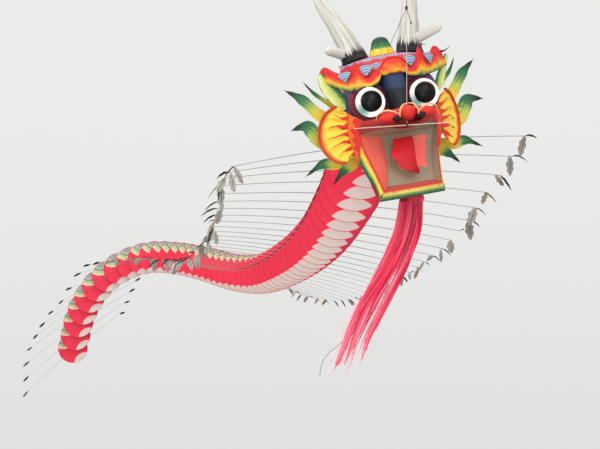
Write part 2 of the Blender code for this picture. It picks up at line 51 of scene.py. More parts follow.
# ---- the frame's own places, in metres; head places are in the head's axes ----
HEAD_MATRIX = (
    Matrix.Translation((-0.028, 0.07, -0.339))
    @ Euler((0.0, 0.0, radians(5.0))).to_matrix().to_4x4()
    @ Euler((0.0, radians(-10.0), 0.0)).to_matrix().to_4x4()
)
NOSE_MATRIX = HEAD_MATRIX @ Matrix.Translation((0.008, -0.018, -0.012))
EYE_AT = Vector((0.085, -0.03, 0.002))
EAR_ROOT = Vector((0.15, 0.05, -0.075))
EAR_SWEEP = {-1: radians(44.0), 1: radians(57.0)}
EAR_LENGTH = 0.112
EAR_HALF = 0.09
EAR_TUCK = -0.016
MANE_Y = 0.178
KNOT = Vector((0.0, 0.0, -0.067))
BAR_AT = Vector((0.0, -0.115, -0.089))
CREST_TIE = Vector((0.0245, 0.092, 0.172))
BEARD_AT = Vector((0.0, -0.07, -0.32))
NECK_HOOKS = ((-1.0, (-0.155, 0.165, -0.02)), (0.0, (0.0, 0.165, 0.135)), (1.0, (0.155, 0.165, -0.02)))

DISC_R = 0.125
CORD_AT = 0.1275
DISCS = 48
SECTIONS = 12
PER_SECTION = 4
STICK_HALF = 0.52
STICK_DROOP = 0.028
STICK_DROP = 0.012
STICK_BACK = 0.0042
# Disc centres along the keel, each with its sticks' roll in degrees.
TRAIN_PATH = (
    (-0.05, 0.48, -0.43, -6),
    (-0.1, 0.77, -0.52, 0),
    (-0.135, 1.07, -0.62, 4),
    (-0.22, 1.69, -0.78, 8),
    (-0.36, 2.45, -0.92, 11),
    (-0.55, 3.25, -1.03, 14),
    (-0.77, 3.85, -1.05, 14),
    (-0.99, 4.35, -1.02, 10),
    (-1.25, 4.8, -0.99, 3),
    (-1.52, 5.1, -0.99, -4),
    (-1.75, 5.25, -1.06, -23),
    (-1.97, 5.36, -1.21, -30),
    (-2.15, 5.49, -1.46, -33),
    (-2.26, 5.65, -1.78, -40),
)
FORWARD = Vector((0.0, 1.0, 0.0))
UP = Vector((0.0, 0.0, 1.0))

# ---- paint colours, linear ----
CRIMSON = (0.8, 0.032, 0.075)
# Magenta is painted shade on the discs' right rims.
SHADE_MAGENTA = (0.48, 0.025, 0.095)
RED = (0.56, 0.016, 0.014)
DARK_RED = (0.2, 0.008, 0.01)
FLAME_RED = (0.62, 0.045, 0.018)
MAROON = (0.13, 0.012, 0.024)
ORANGE = (0.78, 0.2, 0.025)
YELLOW = (0.83, 0.55, 0.055)
LIME = (0.42, 0.5, 0.09)
GREEN = (0.045, 0.17, 0.065)
DARK_GREEN = (0.012, 0.055, 0.025)
NAVY = (0.014, 0.024, 0.055)
PURPLE = (0.17, 0.075, 0.2)
CORAL = (0.86, 0.145, 0.1)
PEACH = (0.88, 0.42, 0.2)
# Olive is painted shade for the inside of the mouth.
SHADE_OLIVE = (0.26, 0.205, 0.14)
BLACK = (0.008, 0.008, 0.01)
EYE_WHITE = (0.95, 0.95, 0.93)
GAUZE_EDGE = (0.38, 0.365, 0.33)


# ---- materials ----
class Paint:
    """A node material that is built up by short calls. A value is a number, a colour or a node's output."""

    def __init__(self, name, rough=0.55, metal=0.0, coat=0.0, specular=0.22):
        self.mat = bpy.data.materials.new(name)
        self.mat.use_nodes = True
        self.tree = self.mat.node_tree
        self.shader = self.tree.nodes["Principled BSDF"]
        self.shader.inputs["Roughness"].default_value = rough
        self.shader.inputs["Metallic"].default_value = metal
        self.shader.inputs["Coat Weight"].default_value = coat
        self.shader.inputs["Specular IOR Level"].default_value = specular
        self.coords = self.node("ShaderNodeTexCoord")
        self.object = self.coords.outputs["Object"]

    def node(self, kind, **settings):
        made = self.tree.nodes.new(kind)
        for key, value in settings.items():
            setattr(made, key, value)
        return made

    def put(self, socket, value):
        if isinstance(value, bpy.types.NodeSocket):
            self.tree.links.new(value, socket)
        elif isinstance(value, tuple) and len(value) == 3 and len(socket.default_value) == 4:
            socket.default_value = (*value, 1.0)
        else:
            socket.default_value = value

    def filled(self, kind, values, places=None, out=0, **settings):
        """A new node with values put in its first sockets, or in the places that are named."""
        made = self.node(kind, **settings)
        for place, value in zip(places or range(len(values)), values):
            self.put(made.inputs[place], value)
        return made.outputs[out]

    def math(self, how, *values):
        return self.filled("ShaderNodeMath", values, operation=how)

    def times(self, a, b):
        return self.math("MULTIPLY", a, b)

    def plus(self, a, b):
        return self.math("ADD", a, b)

    def less(self, a, b):
        return self.math("SUBTRACT", a, b)

    def scaled(self, value, factor, shift):
        return self.math("MULTIPLY_ADD", value, factor, shift)

    def size(self, value):
        return self.math("ABSOLUTE", value)

    def mix(self, share, a, b):
        values = (share, a, b)
        return self.filled("ShaderNodeMix", values, (0, 6, 7), 2, data_type="RGBA", clamp_factor=True)

    def step(self, value, low, high):
        """0 below low and 1 above high."""
        values = (value, low, high)
        return self.filled("ShaderNodeMapRange", values, interpolation_type="SMOOTHSTEP", clamp=True)

    def switch(self, value, low, high, a, b):
        """a below low and b above high."""
        return self.mix(self.step(value, low, high), a, b)

    def bands(self, value, stops, hard=False):
        made = self.node("ShaderNodeValToRGB")
        made.color_ramp.interpolation = "CONSTANT" if hard else "LINEAR"
        marks = made.color_ramp.elements
        while len(marks) < len(stops):
            marks.new(0.5)
        for mark, (where, colour) in zip(marks, stops):
            mark.position = where
        for mark, (where, colour) in zip(marks, stops):
            mark.color = (*colour, 1.0)
        self.put(made.inputs[0], value)
        return made.outputs[0]

    def split(self, vector):
        made = self.node("ShaderNodeSeparateXYZ")
        self.put(made.inputs[0], vector)
        return made.outputs

    def uv(self):
        return self.split(self.coords.outputs["UV"])[:2]

    def noise(self, scale, detail=2.0, vector=None):
        values = (vector or self.object, scale, detail)
        return self.filled("ShaderNodeTexNoise", values, ("Vector", "Scale", "Detail"))

    def strokes(self, u, v, across, along, detail=3.0):
        """Noise in long strokes: across and along say how many fit in the panel each way."""
        place = self.filled("ShaderNodeCombineXYZ", (self.times(u, across), self.times(v, along)))
        return self.noise(1.0, detail, place)

    def ragged(self, scale, amount, detail=2.0):
        """Noise about zero, to make an edge uneven."""
        return self.times(self.less(self.noise(scale, detail), 0.5), amount)

    def reach(self, x, y):
        """The length of (x, y)."""
        return self.math("SQRT", self.plus(self.times(x, x), self.times(y, y)))

    def weave(self, scale=900.0):
        """The height of a fine plain weave."""
        x, y, z = self.split(self.object)
        across = self.math("SINE", self.times(self.plus(x, y), scale))
        return self.times(across, self.math("SINE", self.times(z, scale)))

    def plain(self, colour):
        """The finished material, with a smooth surface."""
        self.put(self.shader.inputs["Base Color"], colour)
        return self.mat

    def done(self, colour, bump, strength=0.2, distance=0.0004):
        """The finished material, with the height bump."""
        normal = self.filled("ShaderNodeBump", (strength, distance, bump), ("Strength", "Distance", "Height"))
        self.tree.links.new(normal, self.shader.inputs["Normal"])
        return self.plain(colour)

    def worn(self, colour, amount, scale=40.0):
        """The colour with soft uneven brushing."""
        return self.mix(self.times(self.noise(scale, 4.0), amount), colour, (0.02, 0.015, 0.015))


def silk(name, colour_of, rough=0.55, wear=0.12):
    """Painted silk: colour_of gets the Paint and gives back the colour."""
    paint = Paint(name, rough=rough)
    colour = paint.worn(colour_of(paint), wear)
    return paint.done(colour, paint.weave(), 0.12)


def ramp(*stops, way=1, hard=False):
    """Colours along a panel: way 1 goes from its first row to its last one, way 0 goes across it."""
    return lambda paint: paint.bands(paint.uv()[way], stops, hard)


def streaked(stops, streaks=34.0, depth=0.55, dark=DARK_GREEN, way=1):
    """Colours along a leaf or a band, with brushed strokes that run the same way."""

    def colour(paint):
        uv = paint.uv()
        run, cross = uv[way], uv[1 - way]
        strokes = paint.strokes(cross, run, streaks, 2.2)
        shifted = paint.scaled(paint.less(strokes, 0.5), 0.32, run)
        lines = paint.step(strokes, 0.58, 0.7)
        return paint.mix(paint.times(lines, depth), paint.bands(shifted, stops), dark)

    return colour


def disc_colour(paint):
    """A crimson disc with a fan of arcs at its back edge, a pale lens at its belly edge, and painted shade in
    magenta round its right rim.
    """
    u, v = paint.uv()
    x = paint.scaled(u, 2.0, -1.0)
    y = paint.scaled(v, 2.0, -1.0)
    wave = paint.ragged(9.0, 0.05)
    back = paint.plus(paint.reach(x, paint.less(y, 1.06)), wave)
    arcs = (
        (0.0, (0.3, 0.2, 0.22)),
        (0.16, (0.42, 0.4, 0.36)),
        (0.26, (0.2, 0.24, 0.3)),
        (0.32, (0.5, 0.46, 0.4)),
        (0.42, (0.36, 0.46, 0.32)),
        (0.5, (0.13, 0.27, 0.14)),
        (0.56, (0.5, 0.52, 0.33)),
        (0.66, (0.62, 0.54, 0.28)),
        (0.76, (0.86, 0.68, 0.42)),
        (0.82, (0.9, 0.62, 0.5)),
    )
    # Painted shade: towards the right rim the crimson darkens to magenta.
    side = paint.times(paint.step(paint.reach(x, y), 0.8, 1.0), paint.step(x, 0.0, 0.7))
    body = paint.mix(paint.times(side, 0.8), CRIMSON, SHADE_MAGENTA)
    body = paint.switch(back, 0.865, 0.885, paint.bands(back, arcs, True), body)
    belly = paint.plus(paint.reach(x, paint.plus(y, 1.36)), paint.times(wave, 0.5))
    body = paint.switch(belly, 0.765, 0.785, (0.85, 0.52, 0.46), body)
    return paint.switch(belly, 0.72, 0.74, (0.66, 0.59, 0.54), body)


def ear_colour(paint):
    """A yellow fan that warms to an orange rim, with wavy dark veins and red flames from the root."""
    u, v = paint.uv()
    wobble = paint.ragged(24.0, 0.17, 1.0)
    rays = paint.size(paint.math("SINE", paint.times(paint.plus(u, wobble), 6.0 * pi)))
    ends = ((0.91, ORANGE), (0.95, (0.6, 0.09, 0.012)), (1.0, (0.42, 0.045, 0.01)))
    base = paint.bands(v, ((0.0, (0.8, 0.26, 0.03)), (0.22, YELLOW), (0.84, YELLOW), *ends))
    fade = paint.less(1.0, paint.step(v, 0.66, 0.8))
    width = paint.scaled(v, -0.42, 0.46)
    vein = paint.less(1.0, paint.step(rays, paint.times(width, 0.55), width))
    base = paint.mix(paint.times(vein, fade), base, (0.2, 0.055, 0.01))
    flame = paint.step(paint.less(paint.scaled(rays, -0.42, 0.6), v), -0.01, 0.03)
    return paint.mix(flame, base, (0.62, 0.035, 0.018))


def scale_colour(paint):
    """Dark red ground with rows of blue and pale fans."""
    u, v = paint.uv()
    rows = paint.times(v, 3.0)
    odd = paint.times(paint.math("MODULO", paint.math("FLOOR", rows), 2.0), 0.5)
    across = paint.plus(paint.times(u, 7.0), odd)
    x = paint.less(paint.math("FRACT", across), 0.5)
    ring = paint.reach(x, paint.less(paint.math("FRACT", rows), 0.98))
    arcs = (
        (0.0, (0.4, 0.26, 0.34)),
        (0.16, (0.08, 0.13, 0.3)),
        (0.28, (0.4, 0.36, 0.46)),
        (0.36, (0.12, 0.17, 0.34)),
        (0.5, (0.55, 0.16, 0.18)),
    )
    return paint.switch(ring, 0.56, 0.6, paint.bands(ring, arcs, True), (0.38, 0.012, 0.016))


def face_colour(paint):
    """The mask behind the eyes: navy in the middle, maroon and purple round the eyes, red below."""
    u, v = paint.uv()
    x = paint.size(paint.scaled(u, 0.3, -0.15))
    z = paint.scaled(v, 0.26, -0.12)
    eye = paint.reach(paint.less(x, EYE_AT.x), paint.less(z, EYE_AT.z))
    ground = paint.switch(z, -0.055, -0.02, RED, NAVY)
    temple = paint.switch(z, -0.03, 0.0, DARK_RED, (0.022, 0.065, 0.15))
    ground = paint.switch(x, 0.1, 0.135, ground, temple)
    rings = ((0.055, (0.26, 0.03, 0.05)), (0.059, MAROON), (0.064, PURPLE), (0.07, (0.16, 0.02, 0.05)))
    ringed = paint.bands(eye, ((0.0, MAROON), *rings))
    return paint.switch(eye, 0.066, 0.074, ringed, ground)


def mouth_colour(paint):
    """The mouth's back: an olive border of painted shade round a coral middle with a ragged edge."""
    u, v = paint.uv()
    x = paint.size(paint.scaled(u, 2.0, -1.15))
    y = paint.size(paint.scaled(v, 2.0, -1.06))
    far = paint.plus(paint.math("MAXIMUM", paint.times(x, 1.04), y), paint.ragged(34.0, 0.3, 3.0))
    # The olive border is painted shade, with a little random tone in it.
    olive = paint.mix(paint.noise(18.0, 3.0), SHADE_OLIVE, (0.32, 0.25, 0.175))
    return paint.switch(far, 0.6, 0.68, (0.95, 0.155, 0.125), olive)


def horn_colour(paint):
    """Stretched gauze: pale and grey, with faint ribs and a black brushed fringe at the base."""
    u, v = paint.uv()
    strokes = paint.strokes(u, v, 46.0, 1.6)
    ribs = paint.switch(strokes, 0.4, 0.66, (0.33, 0.31, 0.265), (0.54, 0.52, 0.47))
    fringe = paint.scaled(paint.less(strokes, 0.5), 0.46, v)
    return paint.switch(fringe, 0.2, 0.3, (0.004, 0.004, 0.005), ribs)


def feather_colour(paint):
    """Barred feather: grey, cream and a little brown by its place, with a dark spine."""
    u, v = paint.uv()
    kinds = (
        (0.0, (0.1, 0.09, 0.08)),
        (0.42, (0.24, 0.22, 0.2)),
        (0.5, (0.4, 0.38, 0.34)),
        (0.6, (0.2, 0.12, 0.07)),
        (0.68, (0.5, 0.48, 0.43)),
    )
    shade = paint.bands(paint.noise(3.1, 1.0), kinds)
    barbs = paint.step(paint.strokes(u, v, 3.0, 30.0), 0.46, 0.64)
    shade = paint.mix(paint.times(barbs, 0.4), shade, (0.05, 0.045, 0.04))
    return paint.switch(paint.size(paint.less(u, 0.5)), 0.03, 0.07, (0.06, 0.05, 0.045), shade)


def beard_colour(paint):
    """Dyed silk: crimson at the root, pinker lower down, with pale painted highlights and thin dark lines of
    painted shade along its folds.
    """
    u, v = paint.uv()
    fold_light_and_shade = paint.strokes(u, v, 9.0, 2.4, 2.0)
    threads = paint.strokes(u, v, 40.0, 2.0)
    dyes = ((0.2, (0.56, 0.012, 0.045)), (0.6, (0.66, 0.02, 0.07)), (1.0, (0.74, 0.11, 0.17)))
    base = paint.bands(v, ((0.0, (0.36, 0.008, 0.03)), *dyes))
    base = paint.mix(paint.times(paint.step(threads, 0.54, 0.7), 0.3), base, (0.85, 0.3, 0.4))
    # Painted highlight: pale pink where the fold noise is high.
    base = paint.mix(paint.times(paint.step(fold_light_and_shade, 0.6, 0.7), 0.75), base, (0.88, 0.42, 0.5))
    # Painted shade: thin dark lines where the fold noise is low.
    return paint.mix(paint.less(1.0, paint.step(fold_light_and_shade, 0.3, 0.37)), base, (0.22, 0.008, 0.024))


def jaw_side_colour(paint):
    """Red by the mouth's corner, then a band from orange through yellow to green at its outer edge."""
    stops = ((0.0, (0.6, 0.04, 0.02)), (0.1, ORANGE), (0.26, YELLOW), (0.46, LIME), (0.66, GREEN))
    band = streaked((*stops, (0.95, DARK_GREEN)), 26.0, 0.35, way=0)(paint)
    flame = paint.scaled(paint.noise(40.0, 2.0), 0.22, paint.uv()[1])
    return paint.switch(flame, 0.34, 0.44, FLAME_RED, band)


def cheek_colour(paint):
    """Red with orange flames that point towards the ear."""
    u, v = paint.uv()
    tongues = paint.size(paint.math("SINE", paint.times(v, 5.0 * pi)))
    ragged = paint.scaled(paint.noise(45.0, 2.0), 0.3, paint.times(tongues, 0.34))
    lit = paint.step(paint.less(u, ragged), 0.22, 0.34)
    return paint.mix(paint.times(lit, 0.8), (0.62, 0.026, 0.018), (0.8, 0.16, 0.025))


def skull_colour(paint):
    """Dark plum and navy in soft clouds."""
    return paint.switch(paint.noise(7.0), 0.42, 0.6, (0.1, 0.012, 0.03), (0.02, 0.04, 0.09))


LEAF_STOPS = ((0.0, YELLOW), (0.34, YELLOW), (0.48, LIME), (0.6, GREEN), (0.82, DARK_GREEN), (0.94, BLACK))
CROWN_STOPS = ((0.0, ORANGE), (0.14, YELLOW), (0.34, YELLOW), (0.46, GREEN), (0.8, DARK_GREEN))
CROWN_STOPS += ((1.0, (0.01, 0.035, 0.018)),)
BROW_STOPS = ((0.0, DARK_GREEN), (0.1, (0.3, 0.3, 0.05)), (0.22, (0.74, 0.42, 0.04)))
BROW_STOPS += ((0.4, (0.66, 0.1, 0.02)), (0.58, RED), (1.0, (0.5, 0.014, 0.018)))
BUMP_STOPS = ((0.0, (0.3, 0.28, 0.05)), (0.16, YELLOW), (0.4, ORANGE))
BUMP_STOPS += ((0.62, (0.62, 0.05, 0.015)), (1.0, RED))
LIP_STOPS = ((0.0, DARK_GREEN), (0.22, GREEN), (0.36, (0.22, 0.26, 0.05)), (0.55, (0.58, 0.5, 0.12)))
LIP_STOPS += ((0.74, (0.5, 0.3, 0.08)), (0.86, RED), (1.0, ORANGE))
CURL_STOPS = ((0.0, DARK_GREEN), (0.24, GREEN), (0.44, LIME), (0.9, (0.7, 0.68, 0.3)), (1.0, GREEN))
FAN_STOPS = (
    (0.0, (0.24, 0.26, 0.3)),
    (0.34, (0.05, 0.09, 0.2)),
    (0.42, (0.34, 0.4, 0.46)),
    (0.52, (0.13, 0.24, 0.44)),
    (0.68, (0.42, 0.46, 0.48)),
    (0.76, (0.12, 0.2, 0.36)),
    (0.87, (0.42, 0.36, 0.4)),
    (0.95, DARK_RED),
)
QUILL = ramp((0.0, (0.05, 0.045, 0.04)), (0.5, (0.01, 0.009, 0.009)), (1.0, (0.03, 0.026, 0.024)))
WISP = ramp((0.0, (0.6, 0.03, 0.09)), (0.5, (0.8, 0.26, 0.36)), (1.0, (0.86, 0.52, 0.58)))
CORALS = ((0.0, (0.72, 0.04, 0.02)), (0.07, CORAL), (0.8, (0.88, 0.17, 0.125)), (1.0, (0.7, 0.12, 0.1)))
FLOOR = ramp((0.0, (0.62, 0.1, 0.1)), (1.0, (0.5, 0.13, 0.12)))
UNDER = ramp((0.0, (0.42, 0.012, 0.01)), (0.6, RED), (1.0, (0.62, 0.035, 0.02)))
TONGUE = ramp((0.0, (0.22, 0.004, 0.008)), (0.14, (0.4, 0.006, 0.01)), (0.5, (0.5, 0.008, 0.014)))
UPPER_LIP = ramp((0.0, (0.3, 0.035, 0.035)), (0.4, (0.26, 0.014, 0.018)), (1.0, (0.42, 0.018, 0.016)))
NOSE = ramp((0.0, DARK_RED), (0.4, RED), (1.0, (0.6, 0.045, 0.02)))
NAVIES = ((0.5, (0.009, 0.012, 0.02)), (0.56, (0.018, 0.034, 0.08)), (1.0, (0.02, 0.04, 0.095)))
PALES = ((0.3, (0.56, 0.55, 0.51)), (0.7, (0.52, 0.51, 0.47)), (1.0, GAUZE_EDGE))

# Each silk: its key, its name, what colours it, and its roughness and wear where they aren't usual.
SILKS = (
    ("disc", "disc_silk", disc_colour, 0.55, 0.08),
    ("ear", "ear_silk", ear_colour),
    ("scales", "scale_silk", scale_colour),
    ("face", "face_silk", face_colour),
    ("mouth", "mouth_back_silk", mouth_colour, 0.5, 0.1),
    ("horn", "horn_gauze", horn_colour, 0.42, 0.06),
    ("beard", "beard_silk", beard_colour, 0.4, 0.03),
    ("quill", "feather_dark", QUILL, 0.7, 0.0),
    ("feather", "feather_vane", feather_colour, 0.75, 0.0),
    ("leaf", "leaf_silk", streaked(LEAF_STOPS, 9.0, 0.7)),
    ("fan", "fan_silk", ramp(*FAN_STOPS, hard=True)),
    ("wisp", "wisp_silk", WISP, 0.55, 0.0),
    ("crown", "crown_silk", streaked(CROWN_STOPS, 44.0, 0.85)),
    ("brow", "brow_silk", streaked(BROW_STOPS, 30.0, 0.25, DARK_RED)),
    ("bump", "bump_silk", streaked(BUMP_STOPS, 12.0, 0.2, DARK_RED)),
    ("lip", "lip_silk", streaked(LIP_STOPS, 60.0, 0.6, (0.1, 0.1, 0.02))),
    ("jaw_side", "jaw_side_silk", jaw_side_colour),
    ("coral", "coral_silk", ramp(*CORALS, way=0), 0.55, 0.1),
    ("floor", "mouth_floor_silk", FLOOR, 0.55, 0.2),
    ("red", "red_silk", UNDER),
    ("tongue", "tongue_silk", TONGUE, 0.55, 0.05),
    ("lip_red", "upper_lip_silk", UPPER_LIP),
    ("nose", "nose_silk", NOSE),
    ("bridge", "bridge_silk", ramp((0.0, (0.006, 0.007, 0.01)), *NAVIES)),
    ("cheek", "cheek_silk", cheek_colour),
    ("skull", "skull_silk", skull_colour),
    ("curl", "curl_silk", streaked(CURL_STOPS, 10.0, 0.3)),
    ("horn_pale", "horn_branch_gauze", ramp((0.0, GAUZE_EDGE), *PALES, way=0), 0.5, 0.05),
)
# Each plain finish: its key, its colour and its roughness.
FINISHES = (
    ("cane", (0.5, 0.36, 0.18), 0.45),
    ("pale_cane", (0.62, 0.54, 0.42), 0.5),
    ("stick", (0.27, 0.25, 0.22), 0.5),
    ("rim", (0.5, 0.06, 0.012), 0.5),
    ("peach", PEACH, 0.5),
    ("maroon", MAROON, 0.45),
    ("dark_cord", (0.035, 0.012, 0.02), 0.8),
    ("cord", (0.22, 0.18, 0.14), 0.85),
    ("nostril", (0.012, 0.005, 0.005), 0.6),
    ("hoop", (0.74, 0.028, 0.07), 0.5),
    ("pale_cord", (0.52, 0.42, 0.38), 0.8),
    # The olive finish is painted shade for the roof and the right wall of the mouth.
    ("olive", (0.4, 0.32, 0.22), 0.6),
)


def plain_finish(name, colour, rough):
    """One colour with a fine dark grain."""
    paint = Paint(name, rough=rough)
    grain = paint.noise(220.0, 4.0)
    shade = paint.mix(paint.times(grain, 0.45), colour, tuple(c * 0.35 for c in colour))
    return paint.done(shade, grain, 0.25, 0.0003)


def make_materials():
    """Every finish by its key."""
    mats = {key: silk(name, *how) for key, name, *how in SILKS}
    for key, colour, rough in FINISHES:
        mats[key] = plain_finish(key + "_finish", colour, rough)
    pupil = Paint("pupil_gloss", rough=0.32, specular=0.12)
    cloud = pupil.step(pupil.noise(60.0), 0.4, 0.7)
    mats["pupil"] = pupil.plain(pupil.mix(cloud, (0.003, 0.003, 0.004), (0.007, 0.008, 0.009)))
    white = Paint("eye_white_gloss", rough=0.22, coat=0.25)
    # The white's painted reflections: teal at the lower left, darkening to painted shade at its edge, and
    # warm at the upper right.
    reflected_tints = ((0.0, (0.16, 0.32, 0.28)), (0.1, (0.62, 0.7, 0.64)), (0.22, EYE_WHITE), (0.94, EYE_WHITE))
    painted_reflections = white.bands(white.uv()[1], (*reflected_tints, (1.0, (0.75, 0.58, 0.5))))
    mats["eye"] = white.done(painted_reflections, white.noise(90.0), 0.05)
    steel = Paint("ring_steel_finish", rough=0.28, metal=1.0)
    scratch = steel.noise(500.0, 3.0)
    shade = steel.mix(scratch, (0.42, 0.42, 0.44), (0.62, 0.62, 0.64))
    mats["steel"] = steel.done(shade, scratch, 0.1, 0.0001)
    line = Paint("red_line_finish", rough=0.5)
    mats["red_line"] = line.plain(line.mix(line.noise(90.0), (0.52, 0.03, 0.015), (0.36, 0.012, 0.01)))
    return mats


MATS = make_materials()


# ---- mesh building ----
def circle(count):
    """Angles evenly round a turn."""
    return [2 * pi * k / count for k in range(count)]


def ring(x, y, z, wide, high, count):
    """An upright ellipse of points that faces the front."""
    return [Vector((x + wide * cos(a), y, z + high * sin(a))) for a in circle(count)]


def patch(columns, rows, spot):
    """Rows of points: spot gets the share across and the share along, each from 0 to 1."""
    return [[spot(i / columns, j / rows) for i in range(columns + 1)] for j in range(rows + 1)]


def bowed(start, end, steps, bow=Vector((0.0, 0.0, 0.0))):
    """Points from start to end, moved by the vector bow in the middle."""
    return [start.lerp(end, k / steps) + bow * sin(pi * k / steps) for k in range(steps + 1)]


def swell(thin, extra):
    """A tube's radius: thin at its ends and thin + extra in its middle."""
    return lambda t: thin + extra * sin(pi * t)


class Shape:
    """Points, faces and UVs of one piece, added patch by patch."""

    def __init__(self):
        self.points = []
        self.faces = []
        self.uvs = []
        self.slots = []

    def grid(self, rows, closed=False, slot=0, uv=None, flip=False):
        """A patch through rows of points. UV runs 0 to 1 across and along, or is given by uv(i, j)."""
        start = len(self.points)
        count = len(rows[0])
        for row in rows:
            self.points.extend(row)
        across = count if closed else count - 1
        along = len(rows) - 1
        where = uv or (lambda i, j: (i / across, j / along))
        for j in range(along):
            for i in range(across):
                k = (i + 1) % count
                near = start + j * count
                far = near + count
                face = [near + i, near + k, far + k, far + i]
                marks = [where(i, j), where(i + 1, j), where(i + 1, j + 1), where(i, j + 1)]
                if flip:
                    face.reverse()
                    marks.reverse()
                self.faces.append(face)
                self.uvs.append(marks)
                self.slots.append(slot)

    def tube(self, path, radii, sides=8, slot=0, flat=1.0, up=FORWARD):
        """A round or flattened tube along a path, closed at both ends. up is the flattened direction."""
        rows = []
        for i, here in enumerate(path):
            ahead = path[min(i + 1, len(path) - 1)] - path[max(i - 1, 0)]
            ahead.normalize()
            side = ahead.cross(up)
            if side.length < 1e-4:
                side = ahead.cross(UP)
            side.normalize()
            top = side.cross(ahead) * flat
            r = radii(i / (len(path) - 1)) if callable(radii) else radii
            rows.append([here + side * (r * cos(a)) + top * (r * sin(a)) for a in circle(sides)])
        start = len(self.points)
        self.grid(rows, closed=True, slot=slot)
        last = start + sides * (len(rows) - 1)
        for face in (list(range(start + sides - 1, start - 1, -1)), list(range(last, last + sides))):
            self.faces.append(face)
            self.uvs.append([(0.5, 0.0 if face[0] < last else 1.0)] * sides)
            self.slots.append(slot)

    def make(self, name, mats, body, matrix=None, nodes=()):
        """The finished piece: it rides on its body and stands for the CAD nodes."""
        mesh = bpy.data.meshes.new(name)
        mesh.from_pydata([tuple(p) for p in self.points], [], self.faces)
        layer = mesh.uv_layers.new(name="UVMap")
        marks = [mark for face in self.uvs for mark in face]
        for loop, mark in zip(layer.data, marks):
            loop.uv = mark
        for polygon, material in zip(mesh.polygons, self.slots):
            polygon.use_smooth = True
            polygon.material_index = material
        for key in mats if isinstance(mats, list) else [mats]:
            mesh.materials.append(MATS[key])
        if matrix is not None:
            mesh.transform(matrix)
        tidy = bmesh.new()
        tidy.from_mesh(mesh)
        bmesh.ops.recalc_face_normals(tidy, faces=tidy.faces)
        tidy.to_mesh(mesh)
        tidy.free()
        obj = bpy.data.objects.new(name, mesh)
        bpy.context.scene.collection.objects.link(obj)
        if body:
            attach(obj, body)
        if nodes:
            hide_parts(*nodes)
        return obj

    def on_head(self, name, mats, nodes=(), body="head"):
        """The finished piece, from the head's axes."""
        return self.make(name, mats, body, HEAD_MATRIX, nodes)


def panel(name, key, rows, flat, nodes=(), slot="painted_silk", body="head", **how):
    """A silk panel of the head through rows of points."""
    shape = Shape()
    shape.grid(rows, **how)
    shape.on_head(name, key, nodes, body)


def curve(table, x):
    """A smooth value at x from a table of (x, value), without flats at its points."""
    if x <= table[0][0]:
        return table[0][1]
    last = len(table) - 1
    if x >= table[last][0]:
        return table[last][1]
    k = max(i for i in range(last) if table[i][0] <= x)
    x0, y0 = table[k]
    x1, y1 = table[k + 1]
    xa, ya = table[max(k - 1, 0)]
    xb, yb = table[min(k + 2, last)]
    t = (x - x0) / (x1 - x0)
    m0 = (y1 - ya) / (x1 - xa) * (x1 - x0)
    m1 = (yb - y0) / (xb - x0) * (x1 - x0)
    a = y0 * (1 + 2 * t) * (1 - t) ** 2 + m0 * t * (1 - t) ** 2
    return a + y1 * t * t * (3 - 2 * t) + m1 * t * t * (t - 1)


def between(table, x):
    """A smooth value at x from a table of (x, value), level at its points."""
    if x <= table[0][0]:
        return table[0][1]
    for (x0, y0), (x1, y1) in zip(table, table[1:]):
        if x <= x1:
            t = (x - x0) / (x1 - x0)
            return y0 + (y1 - y0) * t * t * (3 - 2 * t)
    return table[-1][1]


def spline(points, steps):
    """Points on a smooth curve through given points."""
    rows = [Vector(p) for p in points]
    ends = [2 * rows[0] - rows[1], *rows, 2 * rows[-1] - rows[-2]]
    result = []
    for i in range(len(rows) - 1):
        before, here, there, after = ends[i : i + 4]
        for step in range(steps):
            t = step / steps
            slope = (there - before) * t
            bend = (2 * before - 5 * here + 4 * there - after) * t * t
            twist = (3 * here - before - 3 * there + after) * t * t * t
            result.append(here + 0.5 * (slope + bend + twist))
    result.append(rows[-1])
    return result


def sided(points, side):
    """The points for side 1, or their mirror for side -1."""
    return [Vector((p[0] * side, p[1], p[2])) for p in points]


def ball(shape, at, radii, slot=0, sides=24):
    """A rounded lump: at is its centre and radii its half sizes."""
    rows = []
    for j in range(13):
        tilt = -pi / 2 + pi * (0.02 + 0.96 * j / 12)
        line = []
        for a in circle(sides):
            out = (cos(tilt) * cos(a), cos(tilt) * sin(a), sin(tilt))
            line.append(Vector([at[k] + radii[k] * out[k] for k in range(3)]))
        rows.append(line)
    shape.grid(rows, closed=True, slot=slot)


# ---- camera, light and sky ----
LAMPS = (
    ("key", (1.0, -5.0, 2.4), 3.0, 150.0),
    ("fill", (-4.5, -3.0, 1.0), 4.0, 110.0),
    ("train_light", (-1.0, 1.5, 2.8), 5.0, 160.0),
    ("front", (-0.3, -5.2, -0.9), 2.0, 70.0),
)
LAMPS_AIM = Vector((-0.6, 1.5, -0.8))


def sky(tree):
    """A pale, even sky that is a little darker low down, the same from every direction."""
    coords = tree.nodes.new("ShaderNodeTexCoord")
    parts = tree.nodes.new("ShaderNodeSeparateXYZ")
    tree.links.new(coords.outputs["Generated"], parts.inputs[0])
    level = tree.nodes.new("ShaderNodeMapRange")
    level.interpolation_type = "SMOOTHSTEP"
    for socket, value in zip(level.inputs[1:5], (-0.3, 0.12, 0.74, 0.83)):
        socket.default_value = value
    tree.links.new(parts.outputs[2], level.inputs[0])
    tree.links.new(level.outputs[0], tree.nodes["Background"].inputs[1])
    tree.nodes["Background"].inputs[0].default_value = (1.0, 1.0, 0.988, 1.0)


